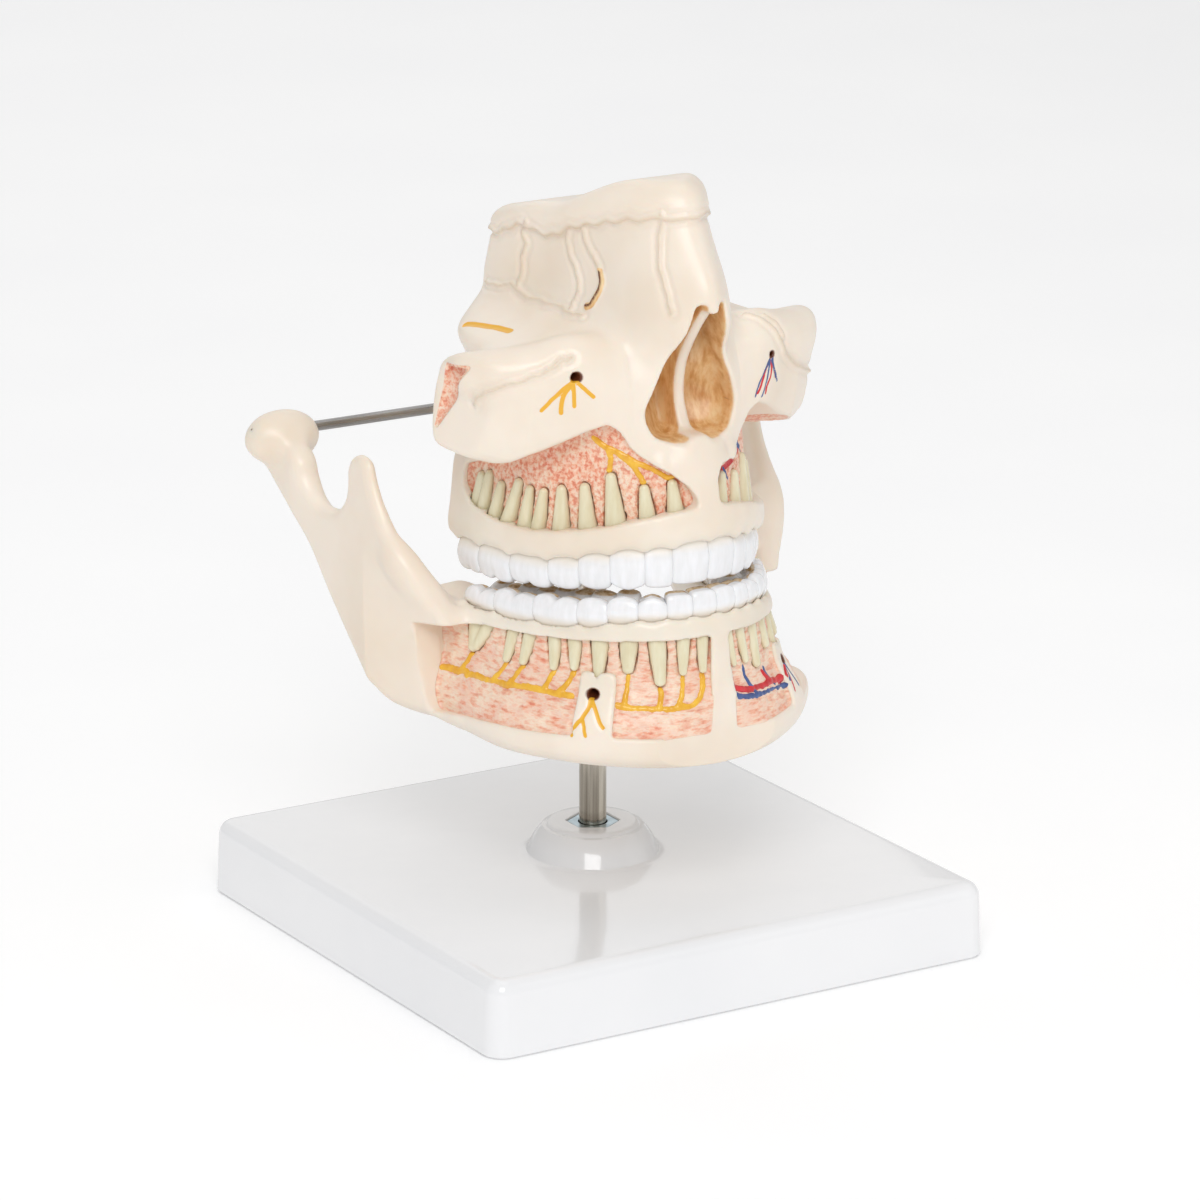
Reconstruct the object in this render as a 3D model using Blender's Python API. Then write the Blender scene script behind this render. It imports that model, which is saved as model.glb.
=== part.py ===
"""Anatomical typodont on a display stand: hinged lower jaw, opened tooth sockets, separate teeth.

The frame stands on Z = 0, with its origin under the middle of the base. The face looks along -Y,
and the model's right side is at -X. Sizes below are in millimetres and are scaled once, in to_object.
"""

import math

import bmesh
import bpy
import numpy as np
from mathutils import Matrix, Vector

MM = 0.001
GAP = 0.3                     # clearance between separate pieces

# stand
BASE_WIDTH, BASE_DEPTH, BASE_HEIGHT = 128.0, 131.0, 17.1
BASE_CORNER, BASE_EDGE, BASE_WALL, BASE_DRAFT = 3.9, 3.6, 2.6, 0.6
BOSS_HEIGHT, BOSS_TOP_R, BOSS_FOOT_R, COLUMN_R = 7.05, 10.66, 14.83, 9.0
POST_R, POST_BOTTOM, POST_TOP = 3.1, 2.2, 118.0
NUT_FLATS, NUT_HEIGHT = 10.0, 4.6
WASHER_R, WASHER_HEIGHT = 8.0, 1.2
NUT_SEAT = 8.0                # underside height of the washer

# hinge
HINGE_Y, HINGE_Z = 52.5, 110.0
ROD_R, ROD_HALF = 1.2, 57.6
CONDYLE = (50.0, 52.5, 108.6)
CONDYLE_RADII = (9.0, 5.6, 6.2)

# dental arches: buccal ellipse half width, depth and centre, then the splay of the straight ends
UPPER_ARCH = (31.5, 52.0, 7.0, 0.04)
LOWER_ARCH = (32.0, 50.0, 3.0, 0.16)
# teeth from the midline back: name, mesial and distal end along the arch, depth across it, root length
UPPER_TEETH = (
    ("incisor_1", 0.0, 7.6, 7.0, 12.5, 91.6),
    ("incisor_2", 7.6, 13.0, 6.2, 12.5, 91.1),
    ("canine", 13.0, 20.0, 7.8, 16.0, 90.5),
    ("premolar_1", 20.0, 26.8, 9.0, 14.0, 89.9),
    ("premolar_2", 26.8, 34.2, 9.0, 13.5, 89.1),
    ("molar_1", 34.2, 44.8, 11.0, 13.5, 88.3),
    ("molar_2", 44.8, 54.8, 10.8, 13.5, 87.5),
    ("molar_3", 54.8, 62.4, 10.2, 12.5, 87.6),
)
LOWER_TEETH = (
    ("incisor_1", 0.0, 5.2, 6.0, 12.2, 90.4),
    ("incisor_2", 5.2, 10.1, 6.2, 12.2, 90.0),
    ("canine", 10.1, 15.6, 7.6, 14.0, 89.5),
    ("premolar_1", 15.6, 21.5, 7.8, 11.6, 89.4),
    ("premolar_2", 21.5, 28.0, 8.2, 11.6, 88.6),
    ("molar_1", 28.0, 39.0, 10.4, 9.8, 87.8),
    ("molar_2", 39.0, 50.4, 10.2, 9.6, 86.8),
    ("molar_3", 50.4, 60.2, 9.6, 9.8, 85.4),
)
# how far the crowns stand outside the ellipse, in the upper and the lower jaw
CROWN_PROUD = {True: 1.7, False: 2.2}
# height of the gum line along each arch: (distance from the midline, z)
UPPER_CREST = (
    (0.0, 101.3), (10.0, 100.2), (17.0, 99.5), (24.0, 98.0), (30.0, 96.4), (39.0, 95.2), (66.0, 94.6),
)
LOWER_CREST = (
    (0.0, 84.9), (13.0, 84.5), (18.5, 83.9), (25.0, 82.5), (34.0, 81.6), (45.0, 81.1), (60.0, 81.0),
    (76.0, 86.0),
)
CONTACT_GAP = 0.32            # between neighbouring crowns


def clear_scene():
    for obj in list(bpy.data.objects):
        bpy.data.objects.remove(obj, do_unlink=True)


def new_collection(name):
    collection = bpy.data.collections.new(name)
    bpy.context.scene.collection.children.link(collection)
    return collection


clear_scene()
PARTS = new_collection("typodont")
CUTTERS = new_collection("typodont_cutters")


def material(name, color, roughness, metallic=0.0):
    made = bpy.data.materials.new(name)
    made.use_nodes = True
    shader = made.node_tree.nodes["Principled BSDF"]
    shader.inputs["Base Color"].default_value = (*color, 1.0)
    shader.inputs["Roughness"].default_value = roughness
    shader.inputs["Metallic"].default_value = metallic
    made.diffuse_color = (*color, 1.0)
    return made


BONE = material("cast_bone", (0.86, 0.77, 0.64), 0.38)
TOOTH = material("tooth", (0.86, 0.86, 0.84), 0.25)
NERVE = material("nerve", (0.88, 0.58, 0.06), 0.4)
ARTERY = material("artery", (0.62, 0.03, 0.05), 0.4)
VEIN = material("vein", (0.06, 0.12, 0.35), 0.4)
BASE = material("gloss_white", (0.9, 0.9, 0.9), 0.15)
NICKEL = material("nickel_steel", (0.65, 0.63, 0.58), 0.22, 1.0)
ZINC = material("zinc_steel", (0.55, 0.62, 0.66), 0.35, 1.0)


# ---------------------------------------------------------------- mesh helpers

def to_object(name, bm, surface=None, sharp=35.0):
    """Scales a bmesh from millimetres, shades it and links it as a part, or as a cutter with no surface."""
    bmesh.ops.recalc_face_normals(bm, faces=bm.faces)
    bmesh.ops.scale(bm, vec=(MM, MM, MM), verts=bm.verts)
    mesh = bpy.data.meshes.new(name)
    bm.to_mesh(mesh)
    bm.free()
    obj = bpy.data.objects.new(name, mesh)
    if surface is None:
        CUTTERS.objects.link(obj)
        obj.hide_render = True
        obj.display_type = "WIRE"
        return obj
    PARTS.objects.link(obj)
    mesh.materials.append(surface)
    mesh.shade_smooth()
    mesh.set_sharp_from_angle(angle=math.radians(sharp))
    return obj


def boolean(obj, other, operation):
    modifier = obj.modifiers.new(operation.lower(), "BOOLEAN")
    modifier.operation = operation
    modifier.object = other
    modifier.solver = "EXACT"
    modifier.use_self = operation == "UNION"


def add_cylinder(bm, radius, bottom, top, centre=(0.0, 0.0), sides=32, top_radius=None):
    placed = Matrix.Translation((centre[0], centre[1], (bottom + top) / 2))
    bmesh.ops.create_cone(
        bm, cap_ends=True, segments=sides, radius1=radius,
        radius2=radius if top_radius is None else top_radius, depth=top - bottom, matrix=placed,
    )


def add_box(bm, low, high):
    low, high = Vector(low), Vector(high)
    placed = Matrix.Translation((low + high) / 2) @ Matrix.Diagonal((*(high - low), 1.0))
    return bmesh.ops.create_cube(bm, size=1.0, matrix=placed)["verts"]


def add_loft(bm, rings):
    """Skins closed rings that have the same number of points, and caps both ends."""
    loops = [[bm.verts.new(point) for point in ring] for ring in rings]
    for first, second in zip(loops, loops[1:]):
        for i in range(len(first)):
            j = (i + 1) % len(first)
            bm.faces.new((first[i], first[j], second[j], second[i]))
    bm.faces.new(loops[0][::-1])
    bm.faces.new(loops[-1])


# ---------------------------------------------------------------- dental arch

def arch_frame(arch, s):
    """Point, tangent and outward normal of an arch at a distance s from the midline, +X side positive."""
    half, depth, centre, splay = arch
    angles = np.linspace(0.0, math.pi / 2, 400)
    xs = np.append(half * np.sin(angles), half + splay * 30.0)
    ys = np.append(centre - depth * np.cos(angles), centre + 30.0)
    along = np.concatenate(([0.0], np.cumsum(np.hypot(np.diff(xs), np.diff(ys)))))
    step = 0.4
    x, y = (np.interp(abs(s), along, v) for v in (xs, ys))
    ahead = [np.interp(abs(s) + step, along, v) for v in (xs, ys)]
    behind = [np.interp(max(abs(s) - step, 0.0), along, v) for v in (xs, ys)]
    tangent = Vector((ahead[0] - behind[0], ahead[1] - behind[1], 0.0)).normalized()
    normal = Vector((tangent.y, -tangent.x, 0.0))
    if s < 0:
        return Vector((-x, y, 0.0)), Vector((-tangent.x, tangent.y, 0.0)), Vector((-normal.x, normal.y, 0.0))
    return Vector((x, y, 0.0)), tangent, normal


def arch_point(arch, s, out, z):
    point, _, normal = arch_frame(arch, s)
    moved = point + normal * out
    return Vector((moved.x, moved.y, z))


def arch_loft(arch, stations, section):
    """Rings for add_loft: section(s) gives (out, z) points at each station along the arch."""
    return [[arch_point(arch, s, out, z) for out, z in section(s)] for s in stations]


def both_sides(stations):
    return [-s for s in reversed(stations)] + [s for s in stations if s > 0]


# ---------------------------------------------------------------- teeth

TOOTH_SIDES = 10


def tooth_rings(arch, tooth, side, upper, margin=0.0):
    """Rings of one tooth from its root tip to its edge. A margin widens the root for its socket."""
    name, mesial, distal, across, root, edge = tooth
    middle = (mesial + distal) / 2
    centre, tangent, normal = arch_frame(arch, side * middle)
    centre = centre + normal * (CROWN_PROUD[upper] - across / 2)
    up = 1.0 if upper else -1.0
    _, _, mesial_normal = arch_frame(arch, side * (mesial + 0.5))
    _, _, distal_normal = arch_frame(arch, side * (distal - 0.5))
    turn = mesial_normal.angle(distal_normal) / (distal - mesial - 1.0)
    crest = crest_height(middle, upper)
    width = distal - mesial - CONTACT_GAP
    front = "incisor" in name or "canine" in name
    levels = (
        # height from the crest towards the root tip, width and depth as parts of the crown's
        (root, 0.30, 0.26),
        (root * 0.55, 0.58, 0.56),
        (-0.4, 0.70, 0.74),
        (-2.4, 0.96 if front else 0.97, 0.97),
        (-abs(edge - crest) * 0.62, 0.99, 0.72 if front else 0.98),
        (-abs(edge - crest), 0.86, 0.24 if front else 0.72),
    )
    if margin:
        levels = levels[:3] + ((-4.0, 0.70, 0.74),)
    rings = []
    for height, wide, deep in levels:
        ring = []
        lean = normal * 0.0
        if height > 0:
            # the root's outer side shows a little in front of the window's floor
            wanted = window_floor(middle, crest + up * height, upper) + 0.6
            lean = normal * (wanted - CROWN_PROUD[upper] + across * (1.0 - deep) / 2)
        for i in range(TOOTH_SIDES):
            angle = 2 * math.pi * (i + 0.5) / TOOTH_SIDES
            c, s = math.cos(angle), math.sin(angle)
            square = (abs(c) ** 2.6 + abs(s) ** 2.6) ** (-1 / 2.6)
            norm = s * square * (across * deep / 2 + margin)
            # a crown narrows towards the tongue as the arch turns
            inner = 1.0 - (across / 2 - norm) * turn
            tang = c * square * (width * wide / 2 * inner + margin)
            point = centre + lean + tangent * tang + normal * norm
            depth_up = height + (margin if height > 0 else 0.0)
            ring.append(Vector((point.x, point.y, crest + up * depth_up)))
        rings.append(ring)
    return rings


def crest_height(s, upper):
    stations, heights = zip(*(UPPER_CREST if upper else LOWER_CREST))
    return float(np.interp(abs(s), stations, heights))


def jaw_foot(s):
    """Height of the lower jaw's lower border."""
    return 52.8 + 1.4 * min(max((abs(s) - 52.0) / 30.0, 0.0), 1.0) - 1.3 * max(1.0 - abs(s) / 30.0, 0.0)


def jaw_outer(s, z):
    """How far the lower jaw's outer surface stands outside the ellipse."""
    foot = jaw_foot(s)
    t = (z - foot) / (crest_height(s, False) - foot)
    back = min(max((abs(s) - 52.0) / 30.0, 0.0), 1.0)
    outer = np.interp(t, (0.0, 0.28, 0.55, 0.80, 1.0), (7.8, 8.6, 5.2, 4.0, 3.0))
    low = np.interp(abs(s), (0.0, 16.0, 28.0, 40.0, 52.0, 62.0, 80.0), (-0.6, 1.0, 2.6, 3.0, 0.6, -1.4, 0.8))
    return float(outer + low * (1.0 - t) + back * (3.5 + 0.2 * t))


def window_floor(s, z, upper):
    """Where a window's floor lies, measured outward from the ellipse."""
    if upper:
        return -0.9 - 0.06 * (z - 104.0)
    return jaw_outer(s, z) - 1.5


def make_teeth(arch, teeth, upper):
    row = "upper" if upper else "lower"
    for side, word in ((-1, "right"), (1, "left")):
        for tooth in teeth:
            bm = bmesh.new()
            add_loft(bm, tooth_rings(arch, tooth, side, upper))
            to_object(f"tooth_{row}_{word}_{tooth[0]}", bm, TOOTH, sharp=60.0)


def socket_cutter(arch, teeth, upper):
    bm = bmesh.new()
    for side in (-1, 1):
        for tooth in teeth:
            add_loft(bm, tooth_rings(arch, tooth, side, upper, margin=GAP + 0.1))
    return to_object(f"sockets_{'upper' if upper else 'lower'}", bm)


# ---------------------------------------------------------------- bone windows

def window_cutter(name, arch, outline, upper, side):
    """Cuts back the outer wall between two heights along the arch: outline is (s, low z, high z)."""
    bm = bmesh.new()
    rings = []
    for s, low, high in outline:
        floor = [(window_floor(s, z, upper), z) for z in (high, (low + high) / 2, low)]
        ring = ((30.0, low), (30.0, high), *floor)
        rings.append([arch_point(arch, side * s, out, z) for out, z in ring])
    add_loft(bm, rings)
    return to_object(name, bm)


UPPER_WINDOW = (
    (2.8, 108.6, 111.2), (8.0, 107.8, 116.0), (14.0, 106.5, 119.6), (17.0, 105.7, 122.4), (20.5, 104.6, 126.6),
    (24.0, 103.8, 125.4), (31.2, 102.7, 121.2), (38.0, 101.8, 118.0), (49.0, 101.8, 115.0), (57.5, 103.6, 112.6),
    (61.5, 107.0, 111.2),
)
# the molar window and the front one, with an island of bone left between them
LOWER_REAR_WINDOW = (
    (26.0, 60.0, 79.3), (36.0, 59.8, 78.8), (45.0, 59.2, 78.4), (55.0, 58.0, 77.8), (64.5, 57.0, 77.0),
)
LOWER_FRONT_WINDOW = ((2.6, 59.8, 80.4), (8.0, 59.9, 80.3), (14.0, 60.0, 80.1), (19.2, 60.2, 79.9))


# ---------------------------------------------------------------- lower jaw

def jaw_section(s):
    """Cross-section of the lower jaw's body: (out from the ellipse, z)."""
    back = min(max((abs(s) - 52.0) / 30.0, 0.0), 1.0)
    crest, foot = crest_height(s, False), jaw_foot(s)
    inner_top = -(8.6 + 3.0 * min(abs(s) / 40.0, 1.0))
    outer = [(jaw_outer(s, z), z) for z in (crest - 4.0, crest - 8.0, 70.0, 66.0, 61.0, foot + 3.0)]
    return (
        (jaw_outer(s, crest) - 0.6, crest - 1.0), *outer,
        (jaw_outer(s, foot) - 3.4, foot), (-2.6 + 4.6 * back, foot + 1.8),
        (-4.8 + 4.4 * back, 60.0), (-6.4 + 3.8 * back, 67.0), (inner_top + 2.4 * back, crest - 8.0),
        (inner_top + 1.0 + 1.5 * back, crest - 0.8), (-3.0, crest),
    )


# side view of the ramus, as (y, z), from the front of the jaw angle round the back
RAMUS = (
    (-8.0, 57.4), (2.0, 56.6), (9.0, 57.2), (14.1, 60.6), (20.2, 66.9), (29.0, 76.2), (37.8, 85.9), (47.3, 94.3),
    (55.5, 101.5), (56.6, 108.0), (52.5, 112.0), (45.2, 108.6), (41.6, 105.6), (40.3, 101.9), (37.8, 98.8),
    (33.6, 97.0), (27.6, 97.6), (24.0, 100.8), (22.6, 108.3), (20.7, 111.1), (16.9, 112.5), (13.7, 111.1),
    (12.3, 107.0), (10.0, 102.4), (6.0, 97.8), (0.6, 93.2), (-4.0, 87.0), (-8.0, 78.0),
)
RAMUS_THICK, RAMUS_BEVEL = 7.0, 1.6
RAMUS_FOOT_X, RAMUS_LEAN, RAMUS_YAW, RAMUS_TUCK = 46.0, 0.035, 0.04, 9.5


def ramus(side):
    """One upright plate: the outline above, extruded, with rounded edges, leaning out and back."""
    curve = bpy.data.curves.new("ramus", "CURVE")
    curve.dimensions = "2D"
    curve.fill_mode = "BOTH"
    curve.extrude = (RAMUS_THICK / 2 - RAMUS_BEVEL) * MM
    curve.bevel_depth = RAMUS_BEVEL * MM
    curve.bevel_resolution = 1
    curve.offset = -RAMUS_BEVEL * MM
    spline = curve.splines.new("POLY")
    spline.points.add(len(RAMUS) - 1)
    for point, (y, z) in zip(spline.points, RAMUS):
        point.co = (y * MM, z * MM, 0.0, 1.0)
    spline.use_cyclic_u = True
    flat = bpy.data.objects.new("ramus_curve", curve)
    CUTTERS.objects.link(flat)
    bpy.context.view_layer.update()
    mesh = bpy.data.meshes.new_from_object(flat.evaluated_get(bpy.context.evaluated_depsgraph_get()))
    bpy.data.objects.remove(flat, do_unlink=True)
    bm = bmesh.new()
    bm.from_mesh(mesh)
    bmesh.ops.remove_doubles(bm, verts=bm.verts, dist=1e-6)
    bmesh.ops.scale(bm, vec=(1 / MM, 1 / MM, 1 / MM), verts=bm.verts)
    for vert in bm.verts:
        y, z, across = vert.co
        # the plate's lower front end turns in to meet the body of the jaw
        tuck = min(max((14.0 - y) / 18.0, 0.0), 1.0) * min(max((95.0 - z) / 22.0, 0.0), 1.0)
        x = RAMUS_FOOT_X + RAMUS_LEAN * (z - 56.0) + RAMUS_YAW * y - RAMUS_TUCK * tuck + across
        vert.co = (side * x, y, z)
    return to_object(f"ramus_{'left' if side > 0 else 'right'}", bm)


def ellipsoid(name, centre, radii):
    bm = bmesh.new()
    placed = Matrix.Translation(centre) @ Matrix.Diagonal((*radii, 1.0))
    bmesh.ops.create_uvsphere(bm, u_segments=16, v_segments=8, radius=1.0, matrix=placed)
    return to_object(name, bm)


def cross_rod_cutter(name, low, high, radius):
    bm = bmesh.new()
    placed = Matrix.Translation(((low + high) / 2, HINGE_Y, HINGE_Z)) @ Matrix.Rotation(math.pi / 2, 4, "Y")
    bmesh.ops.create_cone(bm, cap_ends=True, segments=16, radius1=radius, radius2=radius, depth=high - low,
                          matrix=placed)
    return to_object(name, bm)


def make_mandible():
    stations = both_sides([0.0, 5.0, 10.0, 15.0, 21.0, 28.0, 36.0, 44.0, 52.0, 60.0, 68.0, 76.0])
    bm = bmesh.new()
    add_loft(bm, arch_loft(LOWER_ARCH, stations, jaw_section))
    jaw = to_object("mandible", bm, BONE, sharp=70.0)
    for side, word in ((-1, "right"), (1, "left")):
        boolean(jaw, ramus(side), "UNION")
        centre = (side * CONDYLE[0], CONDYLE[1], CONDYLE[2])
        boolean(jaw, ellipsoid(f"condyle_{word}", centre, CONDYLE_RADII), "UNION")
    boolean(jaw, socket_cutter(LOWER_ARCH, LOWER_TEETH, False), "DIFFERENCE")
    for side, word in ((-1, "right"), (1, "left")):
        for place, outline in (("rear", LOWER_REAR_WINDOW), ("front", LOWER_FRONT_WINDOW)):
            cutter = window_cutter(f"lower_window_{place}_{word}", LOWER_ARCH, outline, False, side)
            boolean(jaw, cutter, "DIFFERENCE")
        # a blind bore takes the end of the rod from the inner side
        low, high = sorted((side * 20.0, side * (ROD_HALF + GAP)))
        boolean(jaw, cross_rod_cutter(f"condyle_bore_{word}", low, high, ROD_R + GAP), "DIFFERENCE")
    return jaw


# ---------------------------------------------------------------- upper jaw and face

def alveolar_section(s):
    """Cross-section of the upper tooth-bearing ridge: (out from the tooth faces, z)."""
    back = max(0.0, (abs(s) - 40.0) / 26.0)
    crest = crest_height(s, True)
    inner = -(8.6 + 4.0 * min(abs(s) / 40.0, 1.0))
    return (
        (1.8 - 0.8 * back, crest + 1.2), (2.8 - 1.2 * back, crest + 4.5), (2.4 - 1.0 * back, crest + 9.0),
        (0.6, crest + 17.0), (-4.0, crest + 19.0), (inner - 1.5, crest + 17.0), (inner - 1.0, crest + 8.0),
        (inner, crest + 3.0), (inner + 1.2, crest + 0.8), (-4.0, crest),
    )


# half outlines of the face, from the front midline to the back one, as (front height, fall per mm back, points)
FACE = (
    (108.0, 0.0, (
        (0, -42), (8, -40), (16, -34), (22, -25), (27, -13),
        (29, 0), (28, 9), (16, 12), (0, 12),
    )),
    (118.0, 0.0, (
        (0, -46), (8, -42.5), (16, -36.5), (24, -29), (30, -17),
        (31, -2), (28, 9), (16, 14), (0, 14),
    )),
    (127.0, 0.0, (
        (0, -43.5), (9, -41.5), (16, -38), (26, -32.5), (32, -20),
        (31, -4), (26, 9), (15, 16), (0, 16),
    )),
    (135.0, 0.0, (
        (0, -44), (8, -42.5), (15, -38.5), (25, -34.5), (31, -21),
        (32, -5), (27, 9), (15, 19), (0, 19),
    )),
    (141.5, 0.0, (
        (0, -48), (6, -44), (12, -38), (20, -34.5), (29, -26),
        (31, -10), (28, 8), (15, 22), (0, 22),
    )),
    (148.5, 0.03, (
        (0, -50), (5, -47.6), (9, -42.5), (12, -35), (16, -22),
        (18, -6), (20, 12), (14, 21), (0, 24),
    )),
    (157.0, 0.09, (
        (0, -49.5), (4, -47), (8, -42), (11, -35), (13, -22),
        (15, -6), (18, 12), (15, 20), (0, 25),
    )),
    (168.0, 0.17, (
        (0, -42.5), (4, -40.5), (8, -35.5), (11, -28), (13, -18),
        (15, -5), (17, 10), (15, 18), (0, 24),
    )),
    (178.6, 0.25, (
        (0, -38.5), (4, -36.5), (8, -32), (11, -25), (14, -16),
        (16, -4), (17, 9), (14, 17), (0, 23),
    )),
)

# cheek stub: outlines in planes across X, as (x, ((y, z), ...))
CHEEK = (
    (20.0, ((-37, 133), (-33, 141), (-14, 141.5), (-6, 134), (-8, 122), (-20, 117), (-33, 119))),
    (34.0, ((-31.5, 134), (-28.8, 140.8), (-14, 140.6), (-8, 133), (-8, 121), (-18, 116.8), (-27, 118.6))),
    (45.5, ((-23.5, 135), (-23, 141), (-12.5, 140.4), (-9, 133), (-8, 122), (-12, 119.8), (-18.5, 121.5))),
)
# pear-shaped nasal opening of one side: (z, inner x, outer x)
NOSTRIL = (
    (122.6, 3.0, 6.4), (124.8, 1.6, 9.6), (129.0, 1.3, 11.2), (134.0, 1.3, 9.8), (140.0, 1.3, 7.2),
    (146.0, 1.3, 4.8), (152.6, 1.3, 2.6),
)
NOSTRIL_FRONT, NOSTRIL_BACK = -64.0, -30.0
LUG = ((-6.5, 8.0, 99.5), (6.5, 58.0, 119.0))


def mirrored(half):
    """A closed ring from a half outline whose first and last points lie on the midline."""
    return [Vector(p) for p in half] + [Vector((-p[0], p[1], p[2])) for p in half[-2:0:-1]]


def make_maxilla():
    stations = both_sides([0.0, 5.0, 10.0, 15.0, 21.0, 28.0, 36.0, 44.0, 52.0, 59.0, 66.0])
    bm = bmesh.new()
    add_loft(bm, arch_loft(UPPER_ARCH, stations, alveolar_section))
    jaw = to_object("maxilla", bm, BONE, sharp=70.0)
    bm = bmesh.new()
    rings = []
    for height, slope, half in FACE:
        front = half[0][1]
        rings.append(mirrored([(x, y, height - slope * (y - front)) for x, y in half]))
    add_loft(bm, rings)
    boolean(jaw, to_object("face_block", bm), "UNION")
    for side in (-1, 1):
        bm = bmesh.new()
        add_loft(bm, [[Vector((side * x, y, z)) for y, z in ring] for x, ring in CHEEK])
        boolean(jaw, to_object(f"cheek_{side}", bm), "UNION")
    bm = bmesh.new()
    add_box(bm, *LUG)
    bmesh.ops.bevel(bm, geom=bm.edges[:], offset=2.0, segments=2, profile=0.5, affect="EDGES")
    boolean(jaw, to_object("rod_lug", bm), "UNION")
    boolean(jaw, socket_cutter(UPPER_ARCH, UPPER_TEETH, True), "DIFFERENCE")
    for side, word in ((-1, "right"), (1, "left")):
        cutter = window_cutter(f"upper_window_{word}", UPPER_ARCH, UPPER_WINDOW, True, side)
        boolean(jaw, cutter, "DIFFERENCE")
        bm = bmesh.new()
        rings = [[Vector((side * x, y, z)) for x, y in ((inner, NOSTRIL_FRONT), (outer, NOSTRIL_FRONT),
                                                       (outer, NOSTRIL_BACK), (inner, NOSTRIL_BACK))]
                 for z, inner, outer in NOSTRIL]
        add_loft(bm, rings)
        boolean(jaw, to_object(f"nostril_{word}", bm), "DIFFERENCE")
    bm = bmesh.new()
    add_cylinder(bm, POST_R + GAP, 90.0, POST_TOP + GAP, sides=24)
    boolean(jaw, to_object("post_socket", bm), "DIFFERENCE")
    boolean(jaw, cross_rod_cutter("lug_bore", -20.0, 20.0, ROD_R + GAP), "DIFFERENCE")
    return jaw


# ---------------------------------------------------------------- stand

def make_base():
    bm = bmesh.new()
    half_w, half_d = BASE_WIDTH / 2, BASE_DEPTH / 2
    add_box(bm, (-half_w, -half_d, 0.0), (half_w, half_d, BASE_HEIGHT))
    for vert in bm.verts:
        if vert.co.z > 1.0:
            vert.co.x -= math.copysign(BASE_DRAFT, vert.co.x)
            vert.co.y -= math.copysign(BASE_DRAFT, vert.co.y)
    upright = [e for e in bm.edges if abs(e.verts[0].co.z - e.verts[1].co.z) > 1.0]
    bmesh.ops.bevel(bm, geom=upright, offset=BASE_CORNER, segments=4, profile=0.5, affect="EDGES")
    rim = [e for e in bm.edges if all(v.co.z > BASE_HEIGHT - 0.01 for v in e.verts)]
    bmesh.ops.bevel(bm, geom=rim, offset=BASE_EDGE, segments=4, profile=0.5, affect="EDGES")
    base = to_object("base_shell", bm, BASE, sharp=40.0)
    bm = bmesh.new()
    add_cylinder(bm, BOSS_FOOT_R, BASE_HEIGHT - 1.0, BASE_HEIGHT + BOSS_HEIGHT, sides=40, top_radius=BOSS_TOP_R)
    boolean(base, to_object("boss_cone", bm), "UNION")
    bm = bmesh.new()
    inner_w, inner_d = half_w - BASE_DRAFT - BASE_WALL, half_d - BASE_DRAFT - BASE_WALL
    add_box(bm, (-inner_w, -inner_d, -5.0), (inner_w, inner_d, BASE_HEIGHT - BASE_WALL))
    hollow = to_object("base_hollow", bm)
    bm = bmesh.new()
    add_cylinder(bm, COLUMN_R, -10.0, BASE_HEIGHT, sides=32)
    boolean(hollow, to_object("base_column", bm), "DIFFERENCE")
    boolean(base, hollow, "DIFFERENCE")
    bm = bmesh.new()
    add_cylinder(bm, hex_radius(NUT_FLATS + 2 * GAP), BASE_HEIGHT + BOSS_HEIGHT - NUT_HEIGHT + 1.0, 40.0, sides=6)
    boolean(base, to_object("nut_recess", bm), "DIFFERENCE")
    bm = bmesh.new()
    add_cylinder(bm, POST_R + GAP, -10.0, 30.0, sides=24)
    boolean(base, to_object("base_post_hole", bm), "DIFFERENCE")
    bm = bmesh.new()
    add_cylinder(bm, WASHER_R + GAP, -10.0, NUT_SEAT + WASHER_HEIGHT + GAP, sides=32)
    boolean(base, to_object("base_counterbore", bm), "DIFFERENCE")


def hex_radius(flats):
    return flats / math.sqrt(3)


def make_ring(name, radius, bottom, top, sides, surface):
    bm = bmesh.new()
    add_cylinder(bm, radius, bottom, top, sides=sides)
    ring = to_object(name, bm, surface, sharp=30.0)
    bm = bmesh.new()
    add_cylinder(bm, POST_R + GAP, bottom - 5.0, top + 5.0, sides=24)
    boolean(ring, to_object(f"{name}_hole", bm), "DIFFERENCE")


def make_fasteners():
    top_seat = BASE_HEIGHT + BOSS_HEIGHT - NUT_HEIGHT + 1.0 + GAP
    corner = hex_radius(NUT_FLATS)
    make_ring("post_nut_top", corner, top_seat, top_seat + NUT_HEIGHT - 1.6, 6, ZINC)
    make_ring("post_washer", WASHER_R, NUT_SEAT, NUT_SEAT + WASHER_HEIGHT, 32, ZINC)
    make_ring("post_nut_bottom", corner, NUT_SEAT - GAP - NUT_HEIGHT, NUT_SEAT - GAP, 6, ZINC)


def make_post():
    bm = bmesh.new()
    add_cylinder(bm, POST_R, POST_BOTTOM, POST_TOP, sides=24)
    ends = [e for e in bm.edges if abs(e.verts[0].co.z - e.verts[1].co.z) < 0.01]
    bmesh.ops.bevel(bm, geom=ends, offset=0.5, segments=1, affect="EDGES")
    to_object("stand_post", bm, NICKEL, sharp=30.0)


def make_rod():
    bm = bmesh.new()
    placed = Matrix.Translation((0.0, HINGE_Y, HINGE_Z)) @ Matrix.Rotation(math.pi / 2, 4, "Y")
    bmesh.ops.create_cone(bm, cap_ends=True, segments=16, radius1=ROD_R, radius2=ROD_R, depth=2 * ROD_HALF,
                          matrix=placed)
    to_object("hinge_rod", bm, NICKEL, sharp=30.0)


# ---------------------------------------------------------------- nerve and vessel trunks

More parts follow.
